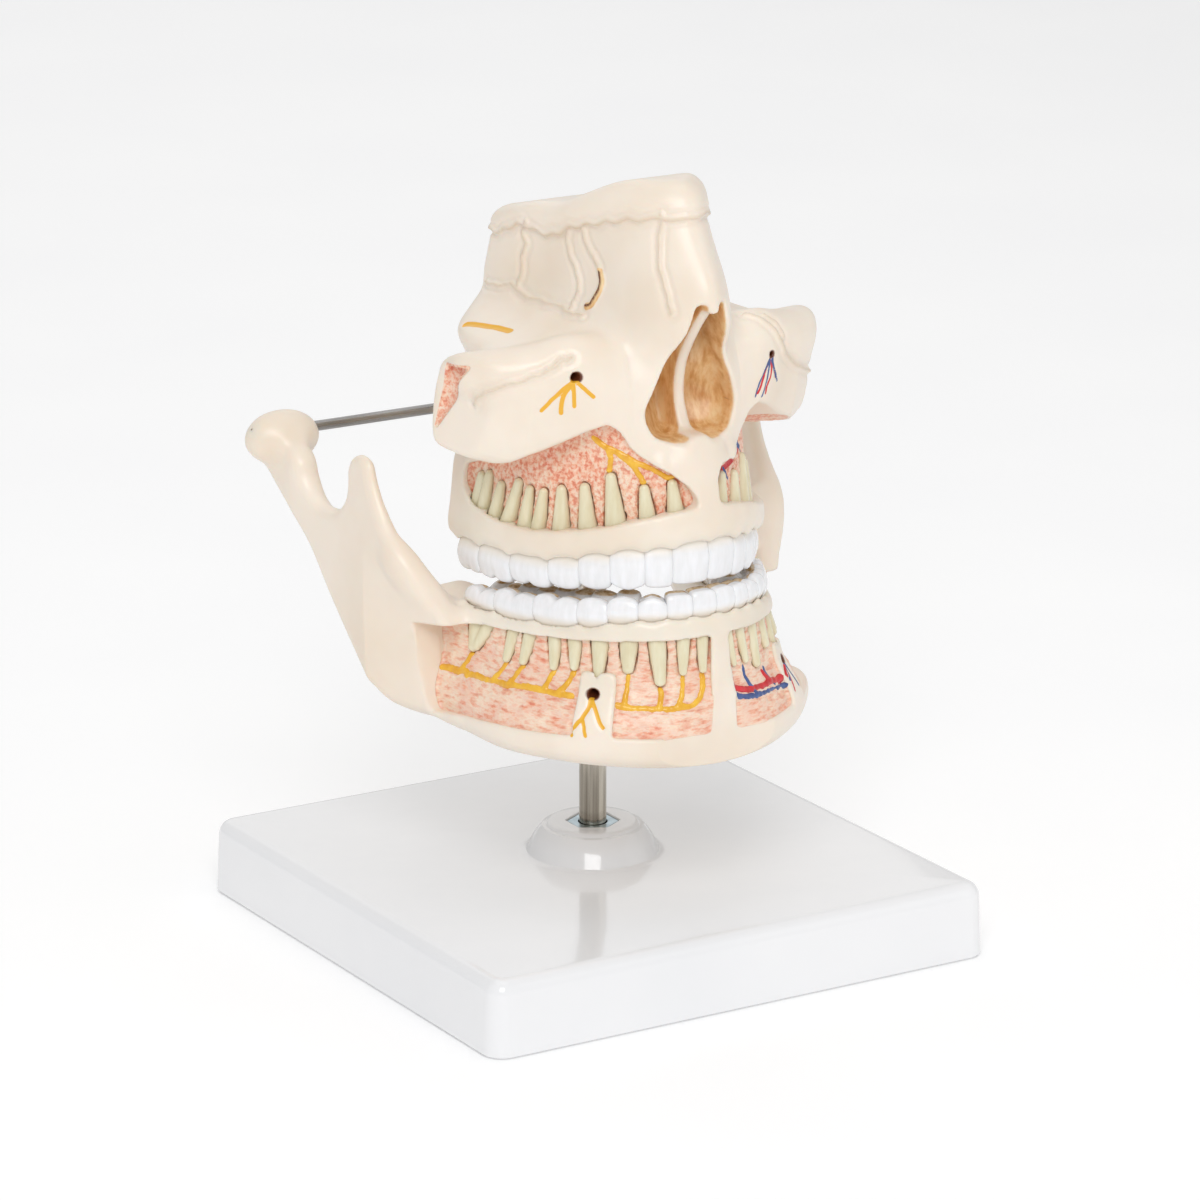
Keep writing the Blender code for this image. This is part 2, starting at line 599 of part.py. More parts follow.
def trunk(name, upper, route, radius, surface):
    """One cord moulded along a window's floor: route is (s, z), read as a smooth line."""
    arch = UPPER_ARCH if upper else LOWER_ARCH
    s_knots, z_knots = np.array(route).T
    stations = np.linspace(s_knots[0], s_knots[-1], 14)
    heights = np.interp(stations, s_knots, z_knots)
    heights[1:-1] = (heights[:-2] + 2 * heights[1:-1] + heights[2:]) / 4
    curve = bpy.data.curves.new(name, "CURVE")
    curve.dimensions = "3D"
    curve.bevel_depth = radius * MM
    curve.bevel_resolution = 2
    curve.use_fill_caps = True
    spline = curve.splines.new("POLY")
    spline.points.add(len(stations) - 1)
    for point, s, z in zip(spline.points, stations, heights):
        out = window_floor(s, z, upper) + radius + GAP + 0.2
        point.co = (*(arch_point(arch, s, out, z) * MM), 1.0)
    curve.materials.append(surface)
    PARTS.objects.link(bpy.data.objects.new(name, curve))


def make_trunks():
    trunk("nerve_lower_right", False, ((-63.0, 66.1), (-47.7, 67.0), (-27.6, 67.4)), 0.8, NERVE)
    trunk("nerve_lower_front", False, ((-18.4, 66.5), (-11.7, 66.0), (-5.0, 67.0)), 0.7, NERVE)
    trunk("nerve_upper_right", True, ((-23.6, 122.4), (-16.0, 118.8), (-9.0, 115.4)), 0.5, NERVE)
    trunk("artery_lower_left", False, ((4.0, 68.2), (12.0, 67.0), (18.6, 66.8)), 0.5, ARTERY)
    trunk("vein_lower_left", False, ((4.6, 65.9), (12.0, 65.2), (18.6, 64.6)), 0.5, VEIN)


make_base()
make_fasteners()
make_post()
make_maxilla()
make_mandible()
make_rod()
make_teeth(UPPER_ARCH, UPPER_TEETH, True)
make_teeth(LOWER_ARCH, LOWER_TEETH, False)
make_trunks()
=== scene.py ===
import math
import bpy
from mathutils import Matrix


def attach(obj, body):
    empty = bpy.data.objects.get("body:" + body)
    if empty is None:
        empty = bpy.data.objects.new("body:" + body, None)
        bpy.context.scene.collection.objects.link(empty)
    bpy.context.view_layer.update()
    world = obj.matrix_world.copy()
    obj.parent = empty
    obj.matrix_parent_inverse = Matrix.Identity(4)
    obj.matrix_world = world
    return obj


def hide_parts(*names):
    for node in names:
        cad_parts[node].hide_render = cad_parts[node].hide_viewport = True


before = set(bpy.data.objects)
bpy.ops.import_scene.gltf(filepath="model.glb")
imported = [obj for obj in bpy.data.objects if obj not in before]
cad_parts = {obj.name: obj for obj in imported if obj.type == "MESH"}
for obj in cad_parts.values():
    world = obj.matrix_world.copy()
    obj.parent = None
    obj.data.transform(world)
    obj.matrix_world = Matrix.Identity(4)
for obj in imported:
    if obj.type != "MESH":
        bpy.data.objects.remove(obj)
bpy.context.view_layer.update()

# Life-size jaw model on a square stand. The bones, teeth, nerves and vessels are sculpted as signed
# distances on a grid and meshed; the stand's parts keep their own CAD shapes or get finer ones.
# Sizes are in millimetres, and MM turns them into Blender's metres. The face looks along -Y.

from types import SimpleNamespace

import bmesh
import bpy
import numpy as np
import openvdb
from mathutils import Vector
from mathutils.bvhtree import BVHTree

MM = 0.001
FAR = 3.0                     # distances are kept only this close to a surface
BONE_VOXEL = 0.5
TOOTH_VOXEL = 0.3
CORD_VOXEL = 0.2


# ---------------------------------------------------------------- distances

def smooth_min(a, b, soft):
    """The smaller distance, with the crease between the two rounded over this many millimetres."""
    if soft <= 0:
        return np.minimum(a, b)
    near = np.maximum(soft - np.abs(a - b), 0.0) / soft
    return np.minimum(a, b) - near * near * (soft / 4)


def smooth_max(a, b, soft):
    return -smooth_min(-a, -b, soft)


def bar(q, start, end, start_r, end_r):
    """Round bar between two points, with its own radius at each end."""
    run = [b - a for a, b in zip(start, end)]
    length = sum(r * r for r in run) + 1e-9
    away = [c - a for c, a in zip(q, start)]
    t = np.clip(sum(w * r for w, r in zip(away, run)) / length, 0.0, 1.0)
    gap = sum((w - t * r) ** 2 for w, r in zip(away, run))
    return np.sqrt(gap) - (start_r + t * (end_r - start_r))


def ball(q, centre, radii):
    scaled = np.sqrt(sum(((c - m) / r) ** 2 for c, m, r in zip(q, centre, radii)))
    return (scaled - 1.0) * min(radii)


def block(q, low, high, rounding):
    """Box with rounded edges."""
    off = [np.abs(c - (a + b) / 2) - ((b - a) / 2 - rounding) for c, a, b in zip(q, low, high)]
    outside = np.sqrt(sum(np.maximum(o, 0.0) ** 2 for o in off))
    inside = np.minimum(np.maximum(np.maximum(off[0], off[1]), off[2]), 0.0)
    return outside + inside - rounding


def outline(u, v, points):
    """Signed distance to a closed outline of straight pieces, negative inside."""
    shape = np.broadcast(u, v).shape
    nearest = np.full(shape, 1e6)
    inside = np.zeros(shape, bool)
    for (au, av), (bu, bv) in zip(points, np.roll(points, -1, axis=0)):
        eu, ev = bu - au, bv - av
        wu, wv = u - au, v - av
        t = np.clip((wu * eu + wv * ev) / (eu * eu + ev * ev + 1e-12), 0.0, 1.0)
        nearest = np.minimum(nearest, (wu - t * eu) ** 2 + (wv - t * ev) ** 2)
        inside ^= ((av > v) != (bv > v)) & (u < eu * (v - av) / (ev + 1e-12) + au)
    return np.where(inside, -1.0, 1.0) * np.sqrt(nearest)


def through(points, steps, closed=False):
    """Smooth curve through points, with this many steps between each pair."""
    points = np.asarray(points, float)
    if closed:
        padded = np.concatenate((points[-1:], points, points[:2]))
    else:
        padded = np.concatenate((2 * points[:1] - points[1:2], points, 2 * points[-1:] - points[-2:-1]))
    t = (np.arange(steps) / steps).reshape(-1, *[1] * (points.ndim - 1))
    made = []
    for a, b, c, d in zip(padded, padded[1:], padded[2:], padded[3:]):
        cubic = 1.5 * b - 1.5 * c + (d - a) / 2
        made.append(b + t * ((c - a) / 2 + t * ((a - 2.5 * b + 2 * c - d / 2) + t * cubic)))
    made = np.concatenate(made)
    return made if closed else np.concatenate((made, points[-1:]))


def profile(value, knots):
    """Smooth curve through (position, height) knots, read at each value."""
    fine = through(knots, 8)
    return np.interp(value, fine[:, 0], fine[:, 1])


def noise(q, size, seed):
    """Smooth random field from -1 to 1 with lumps of about this size."""
    table = np.random.default_rng(seed).uniform(-1.0, 1.0, (32, 32, 32))
    cells, steps = [], []
    for c in q:
        cell = np.floor(c / size)
        part = c / size - cell
        cells.append(cell.astype(int))
        steps.append(part * part * (3 - 2 * part))
    total = 0.0
    for corner in np.ndindex(2, 2, 2):
        weight = 1.0
        for step, k in zip(steps, corner):
            weight = weight * (step if k else 1 - step)
        total = total + weight * table[tuple((cell + k) % 32 for cell, k in zip(cells, corner))]
    return total


# ---------------------------------------------------------------- dental arches

class Arch:
    """A row of teeth seen from above: an ellipse round the front, then straight, splayed ends.

    A point's place is s, the distance along the outer tooth faces from the midline (right side
    negative), and out, the distance outward from those faces.
    """

    def __init__(self, half, depth, centre, splay, midline):
        angle = np.linspace(0.0, math.pi / 2, 60)
        xs = np.append(half * np.sin(angle), half + splay * 45.0)
        ys = np.append(centre - depth * np.cos(angle), centre + 45.0)
        self.x = np.concatenate((-xs[:0:-1], xs))
        self.y = np.concatenate((ys[:0:-1], ys))
        along = np.concatenate(([0.0], np.cumsum(np.hypot(np.diff(self.x), np.diff(self.y)))))
        s = along - along[-1] / 2
        self.s = s - midline * np.clip(1.0 - np.abs(s) / 25.0, 0.0, 1.0)
        tx, ty = np.gradient(self.x, s), np.gradient(self.y, s)
        size = np.hypot(tx, ty)
        self.nx, self.ny = ty / size, -tx / size

    def read(self, x, y):
        """(s, out) of points in the ground plan."""
        shape = np.broadcast(x, y).shape
        x, y = (np.broadcast_to(v, shape).ravel() for v in (x, y))
        best, s, out = np.full(x.size, 1e9), np.zeros(x.size), np.zeros(x.size)
        for i in range(len(self.s) - 1):
            ex, ey = self.x[i + 1] - self.x[i], self.y[i + 1] - self.y[i]
            wx, wy = x - self.x[i], y - self.y[i]
            t = np.clip((wx * ex + wy * ey) / (ex * ex + ey * ey), 0.0, 1.0)
            dx, dy = wx - t * ex, wy - t * ey
            gap = dx * dx + dy * dy
            nearer = gap < best
            best[nearer] = gap[nearer]
            s[nearer] = (self.s[i] + t * (self.s[i + 1] - self.s[i]))[nearer]
            out[nearer] = (np.sqrt(gap) * np.sign(wx * ey - wy * ex))[nearer]
        return s.reshape(shape), out.reshape(shape)

    def place(self, s, out, z):
        x, y, nx, ny = (np.interp(s, self.s, v) for v in (self.x, self.y, self.nx, self.ny))
        return np.stack(np.broadcast_arrays(x + nx * out, y + ny * out, z), axis=-1)


def around(arch, s, out, margin):
    """Low and high (x, y) of a box that holds these places on an arch, with a margin."""
    spots = arch.place(np.array(s), np.array(out), 0.0)[:, :2]
    return spots.min(axis=0) - margin, spots.max(axis=0) + margin


UPPER = Arch(31.5, 52.0, 7.0, 0.04, 1.1)
LOWER = Arch(32.0, 50.0, 3.0, 0.16, 1.7)


# ---------------------------------------------------------------- sculpting

class Clay:
    """A block of space that holds one signed distance, which shapes are added to and cut from."""

    def __init__(self, low, high, voxel, arch=None):
        self.voxel, self.low = voxel, np.array(low, float)
        self.axes = [np.arange(a, b, voxel) for a, b in zip(low, high)]
        self.field = np.full([len(a) for a in self.axes], FAR, np.float32)
        self.arch = arch
        if arch:
            self.s, self.out = arch.read(self.axes[0][:, None], self.axes[1][None, :])

    def work(self, shape, soft=0.0, cut=False, low=(-999,) * 3, high=(999,) * 3):
        """Adds or cuts shape(p), where p holds x, y and z, and s and out if there is an arch."""
        where = tuple(slice(*np.searchsorted(a, ends)) for a, ends in zip(self.axes, zip(low, high)))
        x, y, z = (a[w] for a, w in zip(self.axes, where))
        p = SimpleNamespace(x=x[:, None, None], y=y[None, :, None], z=z[None, None, :])
        p.q = (p.x, p.y, p.z)
        if self.arch:
            p.s, p.out = self.s[where[:2]][:, :, None], self.out[where[:2]][:, :, None]
            p.a = (p.s, p.out, p.z)
        made = shape(p)
        old = self.field[where]
        self.field[where] = smooth_max(old, -made, soft) if cut else smooth_min(old, made, soft)

    def cut(self, shape, soft=0.0, **ends):
        self.work(shape, soft, True, **ends)

    def mesh(self, name):
        """The zero surface as a mesh object, in metres."""
        grid = openvdb.FloatGrid(FAR)
        grid.copyFromArray(np.clip(self.field, -FAR, FAR).astype(np.float32))
        points, quads = grid.convertToQuads(0.0)
        points, quads = keep_largest(points, quads)
        points = (points * self.voxel + self.low) * MM
        mesh = bpy.data.meshes.new(name)
        mesh.from_pydata(points.tolist(), [], quads[:, ::-1].tolist())
        mesh.shade_smooth()
        obj = bpy.data.objects.new(name, mesh)
        bpy.context.scene.collection.objects.link(obj)
        return obj


def keep_largest(points, quads):
    """Leaves out crumbs that don't touch the main body."""
    label = np.arange(len(points))
    while True:
        low = label[quads].min(axis=1)
        made = label.copy()
        np.minimum.at(made, quads.ravel(), np.repeat(low, 4))
        made = made[made]
        if (made == label).all():
            break
        label = made
    main = np.bincount(label).argmax()
    quads = quads[label[quads[:, 0]] == main]
    used, quads = np.unique(quads, return_inverse=True)
    return points[used], quads.reshape(-1, 4)


def coordinates(obj):
    """Mesh points in millimetres, as an n by 3 array."""
    flat = np.empty(len(obj.data.vertices) * 3)
    obj.data.vertices.foreach_get("co", flat)
    return flat.reshape(-1, 3) / MM


def emboss(obj, lift):
    """Moves each point along its normal by lift, in millimetres."""
    normals = np.empty(len(obj.data.vertices) * 3, np.float32)
    obj.data.vertex_normals.foreach_get("vector", normals)
    points = coordinates(obj) + normals.reshape(-1, 3) * np.reshape(lift, (-1, 1))
    obj.data.vertices.foreach_set("co", (points * MM).ravel())
    obj.data.update()


def spot(obj, arch):
    """The mesh points in the form that shapes read."""
    x, y, z = coordinates(obj).T
    s, out = arch.read(x, y)
    return SimpleNamespace(x=x, y=y, z=z, q=(x, y, z), s=s, out=out, a=(s, out, z))


def paint(obj, name, values):
    layer = obj.data.attributes.new(name, "FLOAT", "POINT")
    layer.data.foreach_set("value", np.clip(values, -FAR, FAR).astype(np.float32))


def finish_piece(obj, material, body, slot, *nodes):
    """Gives a piece its material and body, and hides the CAD nodes it stands for; slot is not used."""
    obj.data.materials.clear()
    obj.data.materials.append(material)
    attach(obj, body)
    if nodes:
        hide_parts(*nodes)
    return obj


# ---------------------------------------------------------------- materials

def add(tree, kind, links=None, **settings):
    """One shader node. links gives each input a value or another node's output."""
    made = tree.nodes.new(kind)
    for name, value in settings.items():
        setattr(made, name, value)
    for name, value in (links or {}).items():
        socket = made.inputs[name]
        if isinstance(value, bpy.types.NodeSocket):
            tree.links.new(value, socket)
        else:
            socket.default_value = (*value, 1.0) if socket.type == "RGBA" and len(value) == 3 else value
    return made


def start(name, **values):
    """A new material with its Principled shader's plain values set."""
    material = bpy.data.materials.new(name)
    material.use_nodes = True
    shader = material.node_tree.nodes["Principled BSDF"]
    for socket, value in values.items():
        shader.inputs[socket.replace("_", " ").title().replace("Ior", "IOR")].default_value = value
    return material, material.node_tree, shader


def grain(tree, stretch, detail=2.0, roughness=0.5):
    """Noise whose lumps are 1 / stretch metres across in each direction."""
    where = add(tree, "ShaderNodeTexCoord").outputs["Object"]
    spread = add(tree, "ShaderNodeMapping", {"Vector": where, "Scale": stretch})
    return add(tree, "ShaderNodeTexNoise", {
        "Vector": spread.outputs[0], "Scale": 1.0, "Detail": detail, "Roughness": roughness})


def ramp(tree, factor, stops):
    made = add(tree, "ShaderNodeValToRGB", {"Fac": factor})
    elements = made.color_ramp.elements
    elements[0].position, elements[0].color = stops[0][0], (*stops[0][1], 1.0)
    elements[1].position, elements[1].color = stops[-1][0], (*stops[-1][1], 1.0)
    for position, color in stops[1:-1]:
        elements.new(position).color = (*color, 1.0)
    return made.outputs["Color"]


def mix(tree, factor, a, b):
    made = tree.nodes.new("ShaderNodeMix")
    made.data_type = "RGBA"
    for index, value in ((0, factor), (6, a), (7, b)):
        if isinstance(value, bpy.types.NodeSocket):
            tree.links.new(value, made.inputs[index])
        else:
            made.inputs[index].default_value = (*value, 1.0) if index else value
    return made.outputs[2]


def zone(tree, name, outer, inner):
    """0 to 1 as a painted distance goes from outer to inner."""
    read = add(tree, "ShaderNodeAttribute", attribute_name=name).outputs["Fac"]
    ends = {"Value": read, "From Min": outer, "From Max": inner}
    return add(tree, "ShaderNodeMapRange", ends, interpolation_type="SMOOTHSTEP").outputs[0]


YELLOW, RED, BLUE = (0.86, 0.46, 0.03), (0.64, 0.015, 0.02), (0.05, 0.10, 0.28)
CREAM, CREAM_WARM = (0.895, 0.80, 0.69), (0.835, 0.72, 0.59)
MARROW_RED, MARROW_PINK, MARROW_PALE = (0.72, 0.15, 0.06), (0.90, 0.47, 0.30), (0.94, 0.76, 0.61)
OCHRE_DARK, OCHRE_LIGHT, PIT_SHADE = (0.62, 0.30, 0.09), (0.92, 0.70, 0.42), (0.12, 0.03, 0.01)


def bone_material(name, streaky):
    """Cast cream bone, with painted marrow in the windows, ochre inside the nose, and painted shade, a
    near-black brown, in the nerve holes and the slit.
    """
    material, tree, shader = start(
        name, roughness=0.36, subsurface_weight=0.18, subsurface_radius=(0.004, 0.0018, 0.001),
        subsurface_scale=1.0, coat_weight=0.12, coat_roughness=0.2)
    clouds = grain(tree, (45.0,) * 3, 3.0).outputs["Fac"]
    cream = ramp(tree, clouds, ((0.3, CREAM_WARM), (0.62, CREAM)))
    stretch = (330.0, 330.0, 1100.0) if streaky else (1000.0,) * 3
    flecks = grain(tree, stretch, 4.0, 0.62)
    blotches = grain(tree, (160.0,) * 3, 2.0).outputs["Fac"]
    shift = -0.02 if streaky else 0.04
    marrow = ramp(tree, flecks.outputs["Fac"], (
        (0.33 + shift, MARROW_RED), (0.45 + shift, MARROW_PINK), (0.56 + shift, MARROW_PALE),
        (0.74, MARROW_PINK)))
    blush = ramp(tree, blotches, ((0.38, (0.84, 0.42, 0.32)), (0.62, MARROW_PALE)))
    marrow = mix(tree, 0.35 if streaky else 0.25, marrow, blush)
    streaks = grain(tree, (700.0, 300.0, 160.0), 4.0, 0.6).outputs["Fac"]
    ochre = ramp(tree, streaks, ((0.3, OCHRE_DARK), (0.5, (0.82, 0.54, 0.26)), (0.68, OCHRE_LIGHT)))
    in_marrow = zone(tree, "marrow", 0.15, -0.1)
    in_nose = zone(tree, "nasal", 0.12, -0.12)
    in_pit = zone(tree, "pit", 0.2, -0.25)
    color = mix(tree, in_marrow, cream, marrow)
    color = mix(tree, in_nose, color, ochre)
    # Painted shade: the nerve holes, a ring round each and the middle of the slit are darkened to near-black
    # brown.
    color = mix(tree, in_pit, color, PIT_SHADE)
    # Painted shade: the sutures and the lower edge of the forehead band are darkened along their creases.
    crease = zone(tree, "seam", 0.7, 0.0)
    crease = add(tree, "ShaderNodeMath", {0: crease, 1: 0.45}, operation="MULTIPLY").outputs[0]
    color = mix(tree, crease, color, (0.62, 0.47, 0.33))
    for name, paint_color in (("yellow", YELLOW), ("red", RED), ("blue", BLUE)):
        color = mix(tree, zone(tree, name, 0.08, -0.08), color, paint_color)
    tree.links.new(color, shader.inputs["Base Color"])
    height = add(tree, "ShaderNodeMath", {0: flecks.outputs["Fac"], 1: in_marrow},
                 operation="MULTIPLY").outputs[0]
    deep = add(tree, "ShaderNodeBump", {"Height": height, "Strength": 0.55, "Distance": 0.0006})
    skin = grain(tree, (420.0,) * 3, 3.0).outputs["Fac"]
    fine = add(tree, "ShaderNodeBump", {
        "Height": skin, "Strength": 0.12, "Distance": 0.0003, "Normal": deep.outputs[0]})
    tree.links.new(fine.outputs[0], shader.inputs["Normal"])
    return material


def tooth_material():
    material, tree, shader = start(
        "tooth_enamel", roughness=0.2, subsurface_weight=0.15, subsurface_radius=(0.002, 0.0016, 0.0014),
        subsurface_scale=1.0, coat_weight=0.3, coat_roughness=0.1)
    streaks = grain(tree, (700.0, 700.0, 150.0), 3.0).outputs["Fac"]
    enamel = ramp(tree, streaks, ((0.35, (0.84, 0.84, 0.85)), (0.65, (0.90, 0.90, 0.92))))
    neck = mix(tree, zone(tree, "root", -3.0, -0.2), enamel, (0.89, 0.83, 0.74))
    # Painted shade: the tan on the inner flat tops of the crowns stands for the shade of the narrow gap
    # between the upper and lower rows.
    bite_shade_grain = grain(tree, (900.0,) * 3, 3.0).outputs["Fac"]
    tan = ramp(tree, bite_shade_grain, ((0.35, (0.50, 0.30, 0.12)), (0.6, (0.78, 0.62, 0.42))))
    crown = mix(tree, zone(tree, "bite", 0.6, 1.0), neck, tan)
    cement = ramp(tree, streaks, ((0.3, (0.74, 0.67, 0.45)), (0.7, (0.82, 0.77, 0.57))))
    color = mix(tree, zone(tree, "root", -0.1, 0.5), crown, cement)
    tree.links.new(color, shader.inputs["Base Color"])
    bump = add(tree, "ShaderNodeBump", {"Height": streaks, "Strength": 0.08, "Distance": 0.0003})
    tree.links.new(bump.outputs[0], shader.inputs["Normal"])
    return material


def enamel_paint(name, dark, light):
    """Glossy hand-painted colour with slightly uneven cover."""
    material, tree, shader = start(name, roughness=0.3, coat_weight=0.3, coat_roughness=0.15)
    cover = grain(tree, (500.0,) * 3, 3.0).outputs["Fac"]
    tree.links.new(ramp(tree, cover, ((0.35, dark), (0.65, light))), shader.inputs["Base Color"])
    bump = add(tree, "ShaderNodeBump", {"Height": cover, "Strength": 0.15, "Distance": 0.0003})
    tree.links.new(bump.outputs[0], shader.inputs["Normal"])
    return material


def metal(name, color, dark, roughness, stretch):
    """Drawn or plated steel, with fine marks along its grain."""
    material, tree, shader = start(name, metallic=1.0)
    marks = grain(tree, stretch, 3.0, 0.6).outputs["Fac"]
    tree.links.new(ramp(tree, marks, ((0.3, dark), (0.7, color))), shader.inputs["Base Color"])
    rough = add(tree, "ShaderNodeMapRange", {
        "Value": marks, "To Min": roughness * 0.8, "To Max": roughness * 1.3}).outputs[0]
    tree.links.new(rough, shader.inputs["Roughness"])
    bump = add(tree, "ShaderNodeBump", {"Height": marks, "Strength": 0.06, "Distance": 0.0002})
    tree.links.new(bump.outputs[0], shader.inputs["Normal"])
    return material


def base_material():
    material, tree, shader = start("gloss_white", roughness=0.14, coat_weight=0.4, coat_roughness=0.06)
    clouds = grain(tree, (18.0,) * 3, 3.0).outputs["Fac"]
    tree.links.new(ramp(tree, clouds, ((0.3, (0.84, 0.845, 0.86)), (0.7, (0.89, 0.89, 0.90)))),
                   shader.inputs["Base Color"])
    sag = grain(tree, (60.0,) * 3, 2.0).outputs["Fac"]
    bump = add(tree, "ShaderNodeBump", {"Height": sag, "Strength": 0.10, "Distance": 0.0008})
    tree.links.new(bump.outputs[0], shader.inputs["Normal"])
    return material


# ---------------------------------------------------------------- gum line and windows

UPPER_CREST = (
    (0, 101.3), (10, 100.2), (17, 99.5), (24, 98), (30, 96.4), (39, 95.2), (66, 94.6),
)
LOWER_CREST = (
    (0, 84.9), (13, 84.5), (18.5, 83.9), (25, 82.5), (34, 81.6), (45, 81.1), (60, 81), (76, 82),
)
# a window's lower and upper edge along one side of the arch: (s, low z, high z)
UPPER_WINDOW = (
    (2.6, 108.8, 110.8), (4.5, 108.4, 113.4), (8, 107.8, 116.4), (14, 106.5, 119.6), (16.2, 105.9, 121.4),
    (18.3, 105.2, 125.2), (20.5, 104.6, 127.2), (24, 103.8, 125.8), (32, 102.3, 121.4), (38, 101.5, 118.2),
    (49, 101.6, 115.2), (57.5, 103.6, 112.8), (61.5, 107, 111.4),
)
LOWER_WINDOW = (
    (2.6, 59.6, 80.6), (15, 60, 80.2), (26, 60, 79.5), (43, 59.4, 78.6), (55, 58, 77.8), (62.5, 56.8, 77.2),
    (70, 56, 76.7),
)
WINDOW_END = 66.2             # where the lower window stops at its top; its end leans forward below
ISLAND_S, ISLAND_HALF, ISLAND_TOP = 22.6, 3.4, 73.2


def along(s, rows, column):
    """A table's column read at each distance from the midline."""
    table = np.array(rows)
    return np.interp(np.abs(s), table[:, 0], table[:, column])


def upper_window(p):
    s = np.abs(p.s)
    ends = np.maximum(UPPER_WINDOW[0][0] - s, s - UPPER_WINDOW[-1][0])
    corner = np.where(p.s > 0, np.clip((9.0 - s) / 5.0, 0.0, 1.0) * 4.0, 0.0)
    top = along(s, UPPER_WINDOW, 2) + corner
    edges = smooth_max(along(s, UPPER_WINDOW, 1) - p.z, (p.z - top) * 0.8, 0.6)
    return smooth_max(edges, ends, 1.2)


def lower_window(p):
    s = np.abs(p.s)
    start = 2.0 + 0.05 * (80.0 - p.z)
    ends = np.maximum(start - s, s - WINDOW_END - 0.22 * (p.z - 75.0))
    edges = smooth_max(along(s, LOWER_WINDOW, 1) - p.z, p.z - along(s, LOWER_WINDOW, 2), 0.6)
    hole = smooth_max(edges, ends, 1.2)
    island = smooth_max(np.abs(s - ISLAND_S) - ISLAND_HALF, p.z - ISLAND_TOP, 1.4)
    return smooth_max(hole, -island, 0.8)


def upper_floor(s, z):
    return -0.9 - 0.06 * (z - 104.0)


def jaw_foot(s):
    """Height of the lower jaw's lower border."""
    return 52.8 + 1.4 * np.clip((s - 52.0) / 30.0, 0.0, 1.0) - 1.3 * np.clip(1.0 - s / 30.0, 0.0, 1.0)


def jaw_outer(s, z):
    """How far the lower jaw's outer surface stands outside the tooth faces."""
    s = np.abs(s)
    foot = jaw_foot(s)
    t = np.clip((z - foot) / (along(s, LOWER_CREST, 1) - foot), -0.1, 1.1)
    outer = profile(t, ((-0.1, 7.2), (0.0, 7.8), (0.28, 8.6), (0.55, 5.2), (0.80, 4.0), (1.0, 3.0),
                        (1.1, 2.2)))
    low = profile(s, ((-5.0, -0.4), (0.0, -0.6), (16.0, 1.0), (28.0, 2.6), (40.0, 3.0), (52.0, 0.6),
                      (62, -1.4), (80, 0.8)))
    return outer + low * np.clip(1.0 - t, 0.0, 1.0) + np.clip((s - 52.0) / 30.0, 0.0, 1.0) * (3.5 + 0.2 * t)


def lower_floor(s, z):
    return jaw_outer(s, z) - 1.5


# ---------------------------------------------------------------- teeth

# name, mesial and distal end along the arch, depth across it, edge height, crown form,
# roots as (s at the gum line, s at the tip, tip height, width at the gum line)
UPPER_TEETH = (
    ("incisor_1", 0.0, 7.6, 7.0, 91.6, "incisor", ((5.8, 7.1, 114.6, 2.6),)),
    ("incisor_2", 7.6, 13.0, 6.2, 91.1, "incisor", ((12.1, 13.3, 113.6, 2.5),)),
    ("canine", 13.0, 20.0, 7.8, 90.5, "canine", ((19.1, 20.7, 115.8, 3.0),)),
    ("premolar_1", 20.0, 26.8, 9.0, 89.9, "premolar", ((25.5, 26.7, 113.0, 2.7),)),
    ("premolar_2", 26.8, 34.2, 9.0, 89.1, "premolar", ((32.4, 32.6, 111.8, 2.7),)),
    ("molar_1", 34.2, 44.8, 11.0, 88.3, "molar", ((39.0, 37.3, 110.4, 2.3), (43.0, 41.2, 110.4, 2.2))),
    ("molar_2", 44.8, 54.8, 10.8, 87.5, "molar", ((48.8, 44.6, 111.4, 2.4), (53.0, 50.1, 109.8, 2.3))),
    ("molar_3", 54.8, 62.4, 10.2, 87.6, "molar", ((57.2, 54.2, 111.4, 2.4), (59.6, 57.0, 110.6, 2.5))),
)
LOWER_TEETH = (
    ("incisor_1", 0.0, 5.2, 6.0, 90.4, "incisor", ((3.0, 3.7, 72.5, 1.5),)),
    ("incisor_2", 5.2, 10.1, 6.2, 90.0, "incisor", ((6.9, 7.4, 72.4, 1.6),)),
    ("canine", 10.1, 15.6, 7.6, 89.5, "canine", ((12.1, 11.5, 70.3, 2.2),)),
    ("premolar_1", 15.6, 21.5, 7.8, 89.4, "premolar", ((17.4, 17.3, 72.9, 2.4),)),
    ("premolar_2", 21.5, 28.0, 8.2, 88.6, "premolar", ((23.1, 22.7, 71.0, 2.1),)),
    ("molar_1", 28.0, 39.0, 10.4, 87.8, "molar", ((28.6, 27.8, 72.6, 2.0), (33.4, 32.4, 72.0, 1.9))),
    ("molar_2", 39.0, 50.4, 10.2, 86.8, "molar", ((39.8, 40.1, 71.7, 2.1), (44.5, 44.8, 71.3, 2.0))),
    ("molar_3", 50.4, 60.2, 9.6, 85.4, "molar", ((52.4, 54.8, 71.6, 2.3), (56.6, 56.0, 71.0, 3.1))),
)
CROWN_GAP = -0.16             # neighbouring crowns are cast together


def root_bars(teeth, upper, grow=0.0):
    """A tapered bar for each root, as (side, tooth, its two ends, base radius, tip radius)."""
    floor = upper_floor if upper else lower_floor
    crest = UPPER_CREST if upper else LOWER_CREST
    made = []
    for side in (-1, 1):
        for name, *_, roots in teeth:
            for base_s, tip_s, tip_z, width in roots:
                base_z = along(base_s, crest, 1) + (2.0 if upper else -3.0)
                tip_r = min(1.2, width * 0.45)
                tip_z = tip_z - tip_r if upper else tip_z + tip_r
                base_proud = 1.9 if upper else 0.5
                ends = ((side * base_s, float(floor(base_s, base_z)) - width + base_proud, base_z),
                        (side * tip_s, float(floor(tip_s, tip_z)) - tip_r + 1.0, tip_z))
                made.append((side, name, ends, width + grow, tip_r + grow))
    return made


PROUD = {True: 1.7, False: 2.2}   # how far the crowns stand out, by upper jaw or not


